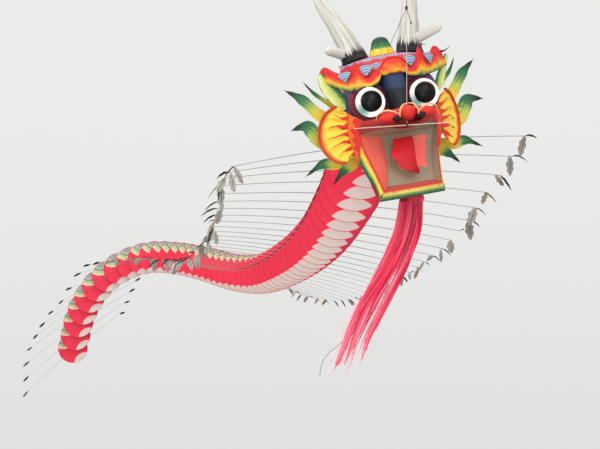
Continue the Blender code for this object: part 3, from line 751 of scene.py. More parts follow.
def stage_and_light():
    """The camera straight in front, the sky and four soft lamps."""
    scene = bpy.context.scene
    scene.view_settings.view_transform = "Standard"
    data = bpy.data.cameras.new("camera")
    data.lens = 61.98
    data.sensor_width = 36.0
    data.clip_end = 100.0
    camera = bpy.data.objects.new("camera", data)
    camera.location = (-0.3245, -3.15, -0.727)
    camera.rotation_euler = (radians(90.0), 0.0, 0.0)
    scene.collection.objects.link(camera)
    scene.camera = camera
    world = bpy.data.worlds.new("world")
    world.use_nodes = True
    sky(world.node_tree)
    scene.world = world
    for name, place, size, power in LAMPS:
        light = bpy.data.lights.new(name, "AREA")
        light.energy = power
        light.size = size
        lamp = bpy.data.objects.new(name, light)
        lamp.location = place
        lamp.rotation_euler = (LAMPS_AIM - Vector(place)).to_track_quat("-Z", "Y").to_euler()
        scene.collection.objects.link(lamp)


# ---- the bridle ----
def bridle_cord(name, end, diameter, node, key="cord"):
    """A taut cord from the knot, as a curve through points."""
    data = bpy.data.curves.new(name, "CURVE")
    data.dimensions = "3D"
    data.bevel_depth = diameter / 2
    data.bevel_resolution = 3
    data.use_fill_caps = True
    line = data.splines.new("POLY")
    steps = 11
    line.points.add(steps)
    for point, place in zip(line.points, bowed(KNOT, end, steps)):
        point.co = (*place, 1.0)
    data.materials.append(MATS[key])
    obj = bpy.data.objects.new(name, data)
    bpy.context.scene.collection.objects.link(obj)
    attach(obj, "head")
    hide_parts(node)


def bridle():
    """The two legs, the line that goes up, and the wound knot with its loose tail."""
    lip = HEAD_MATRIX @ (BAR_AT + Vector((0.0, -0.0015, 0.004)))
    bridle_cord("bridle_cord_crest", HEAD_MATRIX @ CREST_TIE, 0.0018, "bridle_crest_leg")
    bridle_cord("bridle_cord_lip", lip, 0.0018, "bridle_lip_leg", "pale_cord")
    bridle_cord("flying_cord", Vector((0.0, 0.0, -0.013)), 0.0024, "flying_line")
    knot = Shape()
    path = []
    for i in range(40):
        a = 2 * pi * 3.0 * i / 40
        path.append(KNOT + Vector((0.0026 * cos(a), 0.0026 * sin(a), -0.004 + 0.008 * i / 40)))
    knot.tube(path, 0.0018)
    tail = [KNOT, KNOT + Vector((0.006, -0.002, -0.02)), KNOT + Vector((0.0135, -0.003, -0.046))]
    knot.tube(spline(tail, 6), 0.0009, 6)
    knot.tube([tail[-1] + UP * (0.003 - 0.001 * i) for i in range(7)], swell(0.0008, 0.0022))
    knot.make("bridle_knot_wound", "dark_cord", "head", nodes=["bridle_knot"])


# ---- the head ----
BROW_TOP = (
    (-0.211, 0.122), (-0.2, 0.143), (-0.187, 0.146), (-0.172, 0.131), (-0.158, 0.118), (-0.142, 0.112),
    (-0.126, 0.118), (-0.11, 0.132), (-0.101, 0.134), (-0.09, 0.104), (-0.078, 0.085), (-0.064, 0.089),
    (-0.05, 0.098), (-0.034, 0.108), (0.0, 0.11), (0.036, 0.1), (0.05, 0.093), (0.064, 0.092),
    (0.078, 0.108), (0.09, 0.14), (0.103, 0.156), (0.112, 0.132), (0.122, 0.12), (0.134, 0.125),
    (0.148, 0.144), (0.16, 0.154), (0.176, 0.153), (0.19, 0.141), (0.198, 0.122), (0.203, 0.098),
)
BROW_LOW = (
    (-0.211, 0.116), (-0.2, 0.098), (-0.186, 0.083), (-0.17, 0.071), (-0.152, 0.059), (-0.132, 0.05),
    (-0.104, 0.045), (-0.071, 0.048), (-0.047, 0.06), (-0.036, 0.077), (0.0, 0.08), (0.034, 0.074),
    (0.045, 0.065), (0.076, 0.06), (0.114, 0.063), (0.149, 0.071), (0.18, 0.082), (0.203, 0.094),
)
BROW_WISPS = (
    ((0.097, -0.02, 0.148), (0.106, -0.021, 0.156), (0.122, -0.022, 0.152)),
    ((0.188, 0.07, 0.136), (0.203, 0.078, 0.138), (0.222, 0.084, 0.149)),
)
# Scale fans on the brow: x, z, reach, half angle in degrees, and how far forward.
SCALE_FANS = (
    (-0.08, 0.084, 0.038, 42.0, 0.004),
    (-0.143, 0.078, 0.036, 34.0, -0.013),
    (0.061, 0.092, 0.038, 42.0, 0.004),
    (0.129, 0.092, 0.038, 30.0, -0.013),
)


def brow_depth(u):
    """How far back the brow's band is at u: it wraps round the forehead."""
    return -0.052 + 0.135 * (u / 0.2) ** 2


def brow():
    """The flame band: a padded strip that wraps the forehead, with two loose wisps."""

    def spot(share, t, front):
        u = BROW_TOP[0][0] + (BROW_TOP[-1][0] - BROW_TOP[0][0]) * share
        low = curve(BROW_LOW, u)
        top = max(curve(BROW_TOP, u), low + 0.002)
        puff = 0.01 * sin(pi * t) ** 0.6 if 0 < t < 1 else 0.0
        return Vector((u, brow_depth(u) + 0.016 * t - (puff if front else -0.002), low + (top - low) * t))

    shape = Shape()
    shape.grid(patch(150, 8, lambda share, t: spot(share, t, True)))
    shape.grid(patch(150, 8, lambda share, t: spot(share, t, False)), flip=True)
    for path in BROW_WISPS:
        shape.tube(spline(path, 5), lambda t: 0.0034 * (1 - t) + 0.0005, slot=1)
    piece = shape.on_head("brow_flames", ["brow", "maroon"], ["brow_cover"])


def brow_bump():
    """The padded lump over the nose, with an arch above it and a dark crease under it."""
    bump = Shape()
    depth = brow_depth(0.0)
    ball(bump, (0.001, depth - 0.004, 0.099), (0.038, 0.022, 0.025), sides=32)
    for x in (-0.026, 0.028):
        ball(bump, (x, depth - 0.006, 0.088), (0.018, 0.017, 0.014))
    arch = [pi * k / 16 for k in range(17)]
    arch = [Vector((0.001 + 0.042 * cos(a), -0.062, 0.092 + 0.033 * sin(a))) for a in arch]
    bump.tube(arch, swell(0.002, 0.003), slot=1)
    crease = [k / 5 - 1 for k in range(11)]
    crease = [Vector((0.001 + 0.036 * s, -0.068 + 0.012 * s * s, 0.074 + 0.004 * abs(s))) for s in crease]
    bump.tube(crease, swell(0.0012, 0.0022), slot=2)
    bump.on_head("brow_bump", ["bump", "red", "maroon"])


def brow_fans():
    """The ringed scale fans on the flame band."""
    fans = Shape()
    for x, z, reach, half, ahead in SCALE_FANS:

        def spot(share, t):
            r = reach * max(0.06, t)
            a = radians(half) * (2 * share - 1)
            u = x + r * sin(a)
            return Vector((u, brow_depth(u) + ahead + 0.25 * r, z + r * cos(a)))

        fans.grid(patch(12, 8, spot))
    fans.on_head("brow_scale_fans", "fan")


def brow_curls():
    """The green curls that hang from the band's ends. The right one is slimmer."""
    for side, word in ((-1, "left"), (1, "right")):
        curl = Shape()
        slim = 0.014 if side > 0 else 0.0
        outer = [(0.214, 0.088, 0.124), (0.216 - slim, 0.088, 0.09), (0.203 - slim, 0.084, 0.052)]
        outer += [(0.18, 0.074, 0.018 + slim), (0.16, 0.066, slim)]
        inner = [(0.2, 0.076, 0.128), (0.176, 0.062, 0.092), (0.155, 0.052, 0.06)]
        inner += [(0.142, 0.046, 0.03), (0.136, 0.042, 0.004)]
        pairs = zip(spline(sided(outer, side), 6), spline(sided(inner, side), 6))
        curl.grid([bowed(a, b, 4) for a, b in pairs], uv=lambda i, j: (j / 24, 1 - i / 4))
        curl.on_head(f"brow_curl_{word}", "curl")


def forehead():
    """The scaled panel between the brow and the crown, and the drum of silk behind it."""

    def spot(share, t):
        s = 2 * share - 1
        u = (0.152 - 0.012 * t) * s
        foot = brow_depth(u) + 0.01
        back = 0.1 + 0.03 * s * s
        rise = 0.06 + 0.012 * (1 - s * s)
        return Vector((u, foot + (back - foot) * (1 - cos(pi / 2 * t)), 0.086 + rise * sin(pi / 2 * t)))

    panel("forehead_scales", "scales", patch(40, 12, spot), (0.36, 0.22))
    rows = []
    for j in range(9):
        t = j / 8
        wide = 0.14 + 0.022 * t + 0.006 * sin(pi * t)
        rows.append(ring(0.0, 0.018 + 0.145 * t, 0.023 - 0.0435 * t, wide, 0.099 + 0.0635 * t, 48))
    panel("skull_silk_drum", "skull", rows, (0.98, 0.22), ["skull_cover"], closed=True)


def face():
    """The painted mask and the navy bridge of the nose."""
    wide, high, middle = 0.143, 0.1, 0.02
    rows = []
    for j in range(15):
        r = max(0.006, j / 14)
        rows.append(ring(0.0, 0.02 - 0.012 * (1 - r * r), middle, wide * r, high * r, 48))

    def painted(i, j):
        r = j / 14
        a = 2 * pi * i / 48
        return (wide * r * cos(a) + 0.15) / 0.3, (middle + high * r * sin(a) + 0.12) / 0.26

    panel("face_silk_mask", "face", rows, (0.29, 0.21), ["face_mask"], closed=True, uv=painted)

    def spot(share, t):
        s = 2 * share - 1
        half = curve(((0.0, 0.022), (0.4, 0.03), (0.75, 0.037), (1.0, 0.041)), t)
        y = -0.1 + 0.04 * t - 0.008 * sin(pi * t) + 0.06 * s**4
        return Vector((half * s, y, -0.036 + 0.122 * t))

    panel("nose_bridge", "bridge", patch(12, 12, spot), (0.16, 0.14))


def nose():
    """A red muzzle with two flared wings, a round tip, dark nostrils and peach piping."""
    shape = Shape()
    widths = ((0.0, 0.038), (0.35, 0.048), (0.62, 0.07), (0.86, 0.078), (1.0, 0.056))
    heights = ((0.0, 0.025), (0.5, 0.031), (0.86, 0.031), (1.0, 0.022))
    rows = []
    for j in range(15):
        t = j / 14
        rows.append(ring(0.0, 0.034 - 0.134 * t, -0.052, curve(widths, t), curve(heights, t), 32))
    shape.grid(rows, closed=True, uv=lambda i, j: (i / 32, 0.5 + 0.5 * sin(2 * pi * i / 32)))
    ball(shape, (-0.056, -0.088, -0.048), (0.034, 0.026, 0.019))
    ball(shape, (0.056, -0.088, -0.048), (0.034, 0.026, 0.019))
    ball(shape, (0.0, -0.096, -0.042), (0.026, 0.026, 0.024))
    wing = [(0.094, -0.066, -0.05), (0.09, -0.09, -0.034), (0.068, -0.106, -0.026)]
    wing += [(0.046, -0.114, -0.032), (0.03, -0.12, -0.044)]
    tip = [(0.028, -0.116, -0.056), (0.028, -0.12, -0.038), (0.017, -0.123, -0.02), (0.0, -0.124, -0.015)]
    for side in (-1, 1):
        ball(shape, (side * 0.037, -0.111, -0.055), (0.015, 0.01, 0.009), slot=1, sides=16)
        shape.tube(spline(sided(wing, side), 5), swell(0.0012, 0.0018), slot=2)
        shape.tube(spline(sided(tip, side), 5), swell(0.0012, 0.0016), slot=2)
    keys = ["nose", "nostril", "peach"]
    shape.make("nose_muzzle", keys, "head", NOSE_MATRIX, ["snout_cover"])


def upper_lip():
    """The red upper lip and the roof of the mouth behind it, in olive painted shade."""

    def lip(share, t):
        s = 2 * share - 1
        wide = 0.148 if s < 0 else 0.13
        y = -0.098 + 0.128 * abs(s) ** 1.7 - 0.006 * sin(pi * t)
        return Vector((wide * s, y, -0.088 + 0.036 * t + 0.004 * s * s))

    def roof(share, t):
        s = 2 * share - 1
        front = Vector((0.126 * s, -0.088 + 0.098 * abs(s) ** 1.7, -0.086))
        return front.lerp(Vector((0.118 * s, 0.03, -0.101)), t) + UP * (0.004 * sin(pi * t))

    panel("upper_lip_silk", "lip_red", patch(40, 6, lip), (0.42, 0.05))
    # The roof is olive painted shade.
    panel("mouth_roof", "olive", patch(30, 6, roof), (0.26, 0.15))


def lip_bar():
    """The thin stick that lies across the upper lip, tied to the bridle at its middle."""
    shape = Shape()
    path = bowed(Vector((-0.162, -0.113, -0.074)), Vector((0.152, -0.113, -0.106)), 16, FORWARD * -0.002)
    shape.tube(path, swell(0.0011, 0.0005))
    for k in range(3):
        tie = BAR_AT + Vector((0.0015 * (k - 1), 0.0, -0.001))
        turns = [(i, 2 * pi * i / 10) for i in range(11)]
        turns = [tie + Vector((0.00004 * i, 0.0028 * cos(a), 0.0028 * sin(a))) for i, a in turns]
        shape.tube(turns, 0.0007, 6, slot=1)
    shape.on_head("lip_stick", ["pale_cane", "dark_cord"], ["upper_lip_bar"])


# The eye dish from its middle outwards and round to its back: radius and depth.
EYE_DISH = (
    (0.0005, -0.0005), (0.014, -0.002), (0.026, -0.0045), (0.036, -0.009), (0.042, -0.0135),
    (0.0455, -0.0135), (0.0465, -0.01), (0.0445, -0.002), (0.03, 0.006), (0.0005, 0.009),
)


def eye(side, word):
    """A white glossy dish with a black ball in it, and the padded lid round it."""
    at = Vector((side * EYE_AT.x, EYE_AT.y, EYE_AT.z))
    shape = Shape()
    rows = [ring(at.x, at.y + y, at.z, r, r, 40) for r, y in EYE_DISH]
    # UV by the angle round the dish places the white's painted reflections.
    shape.grid(rows, closed=True, uv=lambda i, j: (i / 40, 0.5 + 0.5 * sin(2 * pi * i / 40 + 0.9)))
    rows = []
    for j in range(13):
        tilt = pi / 2 * j / 12
        r = max(0.0345 * cos(tilt), 0.0004)
        rows.append(ring(at.x + 0.005, at.y - 0.004 - 0.017 * sin(tilt), at.z + 0.004, r, r, 40))
    shape.grid(rows, closed=True, slot=1)
    nodes = [f"eyeball_{word}"]
    shape.make(f"eyeball_{word}_painted", ["eye", "pupil"], f"eye_{word}", HEAD_MATRIX, nodes)
    edge = []
    for a in circle(48):
        outward = max(0.0, cos(a) * side) ** 2
        edge.append(Vector((0.0515 * cos(a), 0.006 + 0.02 * outward, 0.0515 * sin(a))))
    lid = Shape()
    turns = [2 * pi * j / 8 for j in range(9)]
    rows = [[at + p * (1 + 0.05 * cos(b)) + FORWARD * (0.006 * sin(b)) for p in edge] for b in turns]
    lid.grid(rows, closed=True)
    lid.on_head(f"eyelid_{word}", "maroon")


def ear(side, word):
    """A pleated fan on a painted rim. The right fan is swept back more than the left one."""
    sweep = EAR_SWEEP[side]
    outward = Vector((cos(sweep), sin(sweep), 0.0))
    facing = Vector((sin(sweep), -cos(sweep), 0.0))

    def spot(share, t):
        s = 2 * share - 1
        bend = radians(86) * s
        rim_out = 0.018 + (EAR_LENGTH - 0.018) * cos(bend)
        rim_up = EAR_HALF * sin(bend)
        root_up = EAR_HALF * 0.62 * s
        pleat = 0.0045 * sin(13 * pi * share) * sin(pi * min(1.0, t * 1.02)) + 0.016 * t * t
        out = outward * (EAR_TUCK + (rim_out - EAR_TUCK) * t)
        p = EAR_ROOT + out + UP * (root_up + (rim_up - root_up) * t) + facing * pleat
        return Vector((side * p.x, p.y, p.z))

    body = f"ear_{word}"
    rows = patch(64, 16, spot)
    panel(f"ear_fan_{word}", "ear", rows, (0.2, 0.14), [f"ear_silk_{word}"], "ear_silk", body)
    rim = Shape()
    rim.tube(rows[-1], 0.0042, 10)
    rim.make(f"ear_rim_{word}_painted", "rim", body, HEAD_MATRIX, [f"ear_rim_{word}"])


# Each mane leaf: its spine as x and z, its width, and how far its tip curls back.
LEAVES = (
    (((0.15, 0.0), (0.182, 0.035), (0.226, 0.078), (0.257, 0.127)), 0.018, 0.004),
    (((0.16, -0.03), (0.22, 0.004), (0.27, 0.066), (0.32, 0.108)), 0.044, 0.01),
    (((0.16, -0.1), (0.226, -0.082), (0.27, -0.026), (0.324, -0.028)), 0.056, -0.012),
    (((0.14, -0.14), (0.195, -0.158), (0.242, -0.154), (0.302, -0.184)), 0.04, 0.01),
    (((0.108, -0.15), (0.146, -0.168), (0.178, -0.188), (0.216, -0.225)), 0.04, 0.006),
    (((0.165, -0.055), (0.21, -0.046), (0.24, -0.052), (0.268, -0.076)), 0.034, 0.006),
)
LEAF_OUTLINE = ((0.0, 0.72), (0.32, 1.0), (0.62, 0.78), (0.84, 0.34), (1.0, 0.02))


def mane(side, word):
    """Six pointed silk leaves with brushed stripes, on a cane strip behind the hoop."""
    shape = Shape()
    for index, (spine, width, curl) in enumerate(LEAVES):
        path = spline([(x, MANE_Y - 0.002 * index, z) for x, z in spine], 8)
        rows = []
        last = len(path) - 1
        for j, here in enumerate(path):
            t = j / last
            ahead = path[min(j + 1, last)] - path[max(j - 1, 0)]
            across = Vector((-ahead.z, 0.0, ahead.x)).normalized()
            half = width / 2 * between(LEAF_OUTLINE, t) * (1 + 0.1 * sin(9 * t + index))
            line = []
            for k in range(7):
                s = -1 + 2 * k / 6
                lift = curl * t * t - 0.01 * s * s * (1 - t) - 0.012 * sin(pi * t)
                p = here + across * (half * s)
                line.append(Vector((side * p.x, p.y + lift, p.z)))
            rows.append(line)
        shape.grid(rows, uv=lambda i, j, n=index: (i / 6 + n * 1.7, j / last))
    piece = shape.on_head(f"mane_leaves_{word}", "leaf", [f"mane_{word}"])
    strip = Shape()
    arc = [radians(a) for a in range(-66, 67, 6)]
    reach = 0.166
    strip.tube([Vector((side * reach * cos(a), MANE_Y - 0.004, -0.02 + reach * sin(a))) for a in arc], 0.003)
    strip.on_head(f"mane_strip_{word}", "cane")


def crown():
    """A rounded cone of silk, yellow at its foot and green above."""
    shape = Shape()
    outline = ((0.0, 0.044), (0.3, 0.039), (0.6, 0.031), (0.85, 0.024), (0.95, 0.015), (1.0, 0.001))
    rows = []
    for j in range(21):
        wide = curve(outline, j / 20)
        z = 0.146 + 0.069 * j / 20
        rows.append([Vector((wide * cos(a), 0.085 + wide * 0.8 * sin(a), z)) for a in circle(32)])
    shape.grid(rows, closed=True)
    shape.on_head("crown_cone_painted", "crown", ["crown_cone"])


HORN_LINE = (
    (0.088, 0.078, 0.142), (0.092, 0.088, 0.168), (0.105, 0.105, 0.222),
    (0.128, 0.15, 0.298), (0.145, 0.19, 0.352), (0.156, 0.225, 0.4),
)
HORN_RADII = ((0.0, 0.046), (0.2, 0.042), (0.4, 0.034), (0.6, 0.0265), (0.85, 0.0215))
HORN_RADII += ((0.96, 0.0175), (1.0, 0.004))
BRANCH_LINES = {
    -1: ((0.1, 0.098, 0.168), (0.128, 0.08, 0.178), (0.156, 0.06, 0.186), (0.184, 0.04, 0.192)),
    1: ((0.104, 0.098, 0.184), (0.132, 0.08, 0.195), (0.165, 0.06, 0.204), (0.197, 0.04, 0.212)),
}
BRANCH_RADII = ((0.0, 0.019), (0.5, 0.0165), (0.84, 0.0145), (0.95, 0.0105), (1.0, 0.002))


def horn(side, word):
    """A flattened tube of gauze with a blunt branch."""
    shape = Shape()
    shape.tube(spline(sided(HORN_LINE, side), 8), lambda t: between(HORN_RADII, t), 20, flat=0.62)
    branch = spline(sided(BRANCH_LINES[side], side), 9)
    shape.tube(branch, lambda t: between(BRANCH_RADII, t), 16, slot=1, flat=0.7)
    keys = ["horn", "horn_pale"]
    shape.make(f"horn_gauze_{word}", keys, f"horn_{word}", HEAD_MATRIX, [f"horn_{word}"])


def cheek(side, word):
    """The red panel between the ear's root and the corner of the mouth. The right one sits further in."""
    slim = 0.014 if side > 0 else 0.0
    inner = [(0.108, -0.02, -0.052), (0.128 - slim, 0.004, -0.09)]
    inner += [(0.13 - slim, 0.006, -0.13), (0.126 - slim, 0.01, -0.165)]
    outer = [(0.148 - slim, 0.026, -0.02), (0.157 - slim, 0.04, -0.07)]
    outer += [(0.153 - slim, 0.048, -0.12), (0.14 - slim, 0.05, -0.17)]
    pairs = zip(spline(sided(inner, side), 6), spline(sided(outer, side), 6))
    rows = [bowed(a, b, 6, FORWARD * -0.01) for a, b in pairs]
    panel(f"cheek_{word}", "cheek", rows, (0.08, 0.18))


# The mouth: the rim runs down its front edge, the back is its far wall, OUTER ends its painted sides.
RIM = {
    -1: (
        (-0.128, 0.008, -0.08), (-0.126, -0.015, -0.134),
        (-0.112, -0.048, -0.202), (-0.096, -0.078, -0.276),
    ),
    1: (
        (0.122, 0.008, -0.08), (0.108, -0.015, -0.134),
        (0.093, -0.048, -0.202), (0.082, -0.078, -0.276),
    ),
}
BACK = {
    -1: (
        (-0.058, 0.036, -0.1), (-0.054, 0.036, -0.14),
        (-0.056, 0.014, -0.192), (-0.076, -0.026, -0.264),
    ),
    1: (
        (0.112, 0.036, -0.1), (0.1, 0.036, -0.14),
        (0.086, 0.014, -0.192), (0.073, -0.026, -0.264),
    ),
}
OUTER = {
    -1: (
        (-0.13, 0.045, -0.108), (-0.139, 0.04, -0.166), (-0.132, -0.01, -0.218),
        (-0.114, -0.042, -0.265), (-0.113, -0.052, -0.3),
    ),
    1: (
        (0.124, 0.045, -0.108), (0.108, 0.04, -0.166), (0.099, -0.01, -0.218),
        (0.091, -0.042, -0.265), (0.094, -0.052, -0.3),
    ),
}
LIP_STEPS = 40


def lip_spot(share):
    """A place on the lower lip's top edge: x, y, and the share s from -1 to 1."""
    s = 2 * share - 1
    return 0.089 * s - 0.007, -0.1 + 0.022 * abs(s) ** 3, s


def mouth_sides():
    """The coral left wall, the right wall in olive painted shade, and the painted outer sides."""
    walls = Shape()
    outsides = Shape()
    for slot, side in enumerate((-1, 1)):
        rim = spline(RIM[side], 8)
        last = len(rim) - 1
        rows = []
        for j, (a, b) in enumerate(zip(rim, spline(BACK[side], 8))):
            rows.append(bowed(a, b, 10, Vector((side * 0.005 * (1 - j / last), 0.0, 0.0))))
        walls.grid(rows, slot=slot)
        bow = Vector((side * 0.004, -0.004, 0.0))
        outsides.grid([bowed(a, b, 8, bow) for a, b in zip(rim, spline(OUTER[side], 6))])
    # The right wall's olive is painted shade.
    piece = walls.on_head("mouth_walls", ["coral", "olive"], ["jaw_cover"], "jaw")
    piece = outsides.on_head("jaw_sides_painted", "jaw_side", body="jaw")


def mouth_inside():
    """The mouth's back and its floor."""
    pairs = zip(spline(BACK[-1], 7), spline(BACK[1], 7))
    rows = [bowed(a, b, 16, FORWARD * 0.008) for a, b in pairs][::-1]
    panel("mouth_back", "mouth", rows, (0.19, 0.2), slot="jaw_silk", body="jaw")

    def spot(share, t):
        x, y, s = lip_spot(share)
        middle = 1 - s * s
        far = Vector((-0.0015 + 0.0755 * s, -0.025 + 0.008 * middle, -0.2645))
        return far.lerp(Vector((x, y, -0.276)), t) - UP * (0.006 * sin(pi * t) * middle)

    panel("mouth_floor", "floor", patch(LIP_STEPS, 6, spot), (0.2, 0.12), slot="jaw_silk", body="jaw")


def lower_lip():
    """The striped lip and the red underside of the jaw."""

    def lip(share, t):
        x, y, s = lip_spot(share)
        y += 0.022 * (1 - t) * s * s - 0.007 * sin(pi * t)
        return Vector((x * (1.02 + 0.14 * (1 - t)), y, -0.305 + 0.031 * t))

    def under(share, t):
        s = 2 * share - 1
        front = Vector((0.102 * s - 0.008, -0.068 + 0.04 * s * s, -0.303))
        rear = Vector((0.116 * s - 0.008, 0.075, -0.135 - 0.02 * (1 - s * s)))
        return front.lerp(rear, t) + Vector((0.0, 0.02, -0.012)) * sin(pi * t)

    rows = patch(LIP_STEPS, 8, lip)
    panel("lower_lip_stripes", "lip", rows, (0.25, 0.045), ["jaw_lip"], "lip_silk", "jaw")
    panel("jaw_under", "red", patch(20, 6, under), (0.29, 0.25), slot="jaw_silk", body="jaw")


def jaw_edges():
    """The red piping round the mouth, and the jaw's cane frame: side bows, lip bows and hinge pads."""
    lip_line = [lip_spot(i / LIP_STEPS) for i in range(LIP_STEPS + 1)]
    thread = Shape()
    for side in (-1, 1):
        thread.tube([p + Vector((side * 0.0006, -0.002, 0.0)) for p in spline(RIM[side], 6)], 0.0018)
    thread.tube([Vector((x, y - 0.001, -0.275)) for x, y, s in lip_line], 0.0015)
    thread.on_head("mouth_piping", "red_line", body="jaw")
    canes = Shape()
    cane_r = 0.0022
    for side, low_x in ((-1, -0.106), (1, 0.086)):
        inset = Vector((side * 0.001, 0.01, 0.0))
        rim = [p + inset for p in spline(RIM[side], 6)]
        back = [p + inset for p in spline(BACK[side], 6)]
        canes.tube(rim, cane_r)
        canes.tube(back, cane_r)
        pad = Vector((side * 0.124, 0.045, -0.128))
        canes.tube([pad + Vector((side * 0.002 * k, 0.0, 0.0)) for k in range(4)], 0.006, 14)
        canes.tube([rim[0], pad, back[0]], cane_r)
        canes.tube([pad, Vector((low_x, 0.0, -0.216)), Vector((low_x, -0.044, -0.296))], cane_r)
    canes.tube([Vector((x, y + 0.006, -0.279)) for x, y, s in lip_line], cane_r)
    canes.tube([Vector((1.06 * x, y + 0.022, -0.293)) for x, y, s in lip_line], cane_r)
    canes.on_head("jaw_canes", "cane", ["jaw_frame"], "jaw")


# The tongue's left edge, right edge and height, each by the share along it.
TONGUE_LEFT = ((0.0, -0.028), (0.25, -0.036), (0.5, -0.047), (0.75, -0.024), (0.92, -0.008), (1.0, 0.006))
TONGUE_RIGHT = ((0.0, 0.033), (0.25, 0.032), (0.5, 0.029), (0.75, 0.027), (0.92, 0.031), (1.0, 0.026))
TONGUE_LEVEL = ((0.0, -0.119), (0.25, -0.146), (0.5, -0.174), (0.75, -0.208), (0.92, -0.228), (1.0, -0.236))


def tongue():
    """A soft red strip that hangs from the roof of the mouth and flares to one side."""

    def spot(s, t):
        left = curve(TONGUE_LEFT, t)
        x = left + (curve(TONGUE_RIGHT, t) - left) * s
        cup = 0.006 * sin(pi * s) - 0.01 * s * t
        y = -0.003 - 0.038 * t - 0.01 * sin(2.4 * t) - cup
        return Vector((x, y, curve(TONGUE_LEVEL, t) - 0.006 * (s - 0.5) * t))

    shape = Shape()
    front = patch(12, 18, spot)[::-1]
    shape.grid(front)
    shape.grid([[p + FORWARD * 0.003 for p in row] for row in front], flip=True)
    piece = shape.make("tongue_silk_strip", "tongue", "tongue", HEAD_MATRIX, ["tongue"])


BEARD_BENDS = (
    (0.006, -0.03, -0.75), (-0.026, -0.05, -0.83), (-0.076, -0.08, -0.915),
    (-0.114, -0.1, -1.0), (-0.156, -0.12, -1.085), (-0.195, -0.14, -1.17),
)
STRAY_BENDS = (
    (0.0, -0.05, -0.84), (-0.12, -0.1, -1.0), (-0.21, -0.13, -1.078),
    (-0.24, -0.14, -1.1), (-0.26, -0.14, -1.13), (-0.267, -0.14, -1.168),
)
STREAMER_ROWS = 30
# Each kind of streamer: how many, their width and its spread, how far they stray, and their silk.
STREAMERS = (
    ("broad", 12, 0.03, 0.008, 0.0, "beard"),
    ("narrow", 22, 0.009, 0.004, 0.15, "beard"),
    ("fine", 80, 0.0013, 0.0007, 0.65, "wisp"),
)


def streamer(main, wide_at, wide_by, stray):
    """Rows of points down one streamer, which follows the beard's main line."""
    spread = dice.uniform(-1, 1)
    depth = dice.uniform(-1, 1)
    reach = dice.uniform(0.8, 1.0) - 0.1 * max(0.0, spread)
    wide = wide_at + dice.uniform(-wide_by, wide_by)
    phase = dice.uniform(0, 2 * pi)
    twist = dice.uniform(-1.2, 1.2)
    drift = -stray * dice.uniform(0.0, 0.11)
    rows = []
    for j in range(STREAMER_ROWS):
        share = j / (STREAMER_ROWS - 1)
        t = reach * share
        at = t * (len(main) - 1)
        k = min(int(at), len(main) - 2)
        centre = main[k].lerp(main[k + 1], at - k)
        fan = 0.027 + 0.014 * t + 0.006 * sin(pi * t)
        sway = (0.008 * sin(15 * t + 0.6) + 0.004 * sin(19 * t + 0.4 * phase)) * t
        x = fan * spread + sway + drift * t * t
        y = 0.018 * depth + 0.006 * sin(6 * t + phase)
        here = centre + Vector((x, y, -0.012 * spread * t))
        turn = 0.5 * sin(phase) + twist * sin(5 * t + phase)
        half = wide / 2 * (0.75 + 0.25 * sin(9 * t + phase)) * (1 - 0.85 * share**3)
        across = Vector((cos(turn), sin(turn), 0.0)) * half
        rows.append([here - across, here + FORWARD * (0.15 * half), here + across])
    return rows


def beard():
    """Loose dyed streamers that hang from under the lip and blow aside, with fine threads at their edge."""
    top = HEAD_MATRIX @ BEARD_AT + Vector((-0.012, 0.0, 0.006))
    main = spline([top, *BEARD_BENDS], 8)
    for word, number, wide_at, wide_by, stray, key in STREAMERS:
        shape = Shape()
        for index in range(number):
            rows = streamer(main, wide_at, wide_by, stray)
            shape.grid(rows, uv=lambda i, j, n=index: (0.2 * i + 0.37 * n, j / (STREAMER_ROWS - 1)))
        nodes = ["beard"] if word == "broad" else []
        piece = shape.make(f"beard_{word}_streamers", key, "beard", None, nodes)
    thread = Shape()
    thread.tube(spline([top, *STRAY_BENDS], 6), 0.0011, 6)
    thread.make("beard_stray_thread", "stick", "beard")
    bundle = Shape()
    bundle.tube([top + UP * (0.016 - 0.006 * i) for i in range(6)], swell(0.028, 0.006), 18, flat=0.4)
    bundle.make("beard_binding", "beard", "beard")


# ---- the train ----
def train_places():
    """The centre and the stick roll of every disc, at an even pitch along the keel."""
    path = spline(TRAIN_PATH, 40)
    reach = [0.0]
    for here, there in zip(path, path[1:]):
        reach.append(reach[-1] + (there.to_3d() - here.to_3d()).length)
    places = []
    for index in range(DISCS):
        goal = reach[-1] * index / (DISCS - 1)
        at = max(i for i in range(len(reach) - 1) if reach[i] <= goal + 1e-9)
        t = min(1.0, (goal - reach[at]) / (reach[at + 1] - reach[at]))
        row = path[at].lerp(path[at + 1], t)
        places.append((row.to_3d(), radians(row.w)))
    return places


def across_of(roll):
    """The way along a disc's cross stick."""
    return Vector((cos(roll), 0.0, -sin(roll)))


def upward_of(roll):
    """The way from a disc's middle to its back edge."""
    return Vector((sin(roll), 0.0, cos(roll)))


def rolled_ring(centre, roll, radius, back):
    """Points round a disc's centre in its own plane, moved back a little."""
    right, up = across_of(roll) * radius, upward_of(roll) * radius
    return [centre + right * cos(a) + up * sin(a) + FORWARD * back for a in circle(40)]


def disc(shape, centre, roll):
    """One silk disc, dished a little between its hoop and its middle."""
    shares = [0.02, 0.2, 0.4, 0.6, 0.8, 1.0]

    def painted(i, j):
        a = 2 * pi * i / 40
        return 0.5 + 0.5 * shares[j] * cos(a), 0.5 + 0.5 * shares[j] * sin(a)

    rows = [rolled_ring(centre, roll, DISC_R * r, 0.003 * (1 - r * r)) for r in shares]
    shape.grid(rows, closed=True, uv=painted)


def hoop(shape, centre, roll):
    """The thin round cane that a disc is stretched on."""
    turns = [2 * pi * j / 6 for j in range(7)]
    rows = [rolled_ring(centre, roll, DISC_R + 0.0011 * cos(b), 0.0011 * sin(b)) for b in turns]
    shape.grid(rows, closed=True)


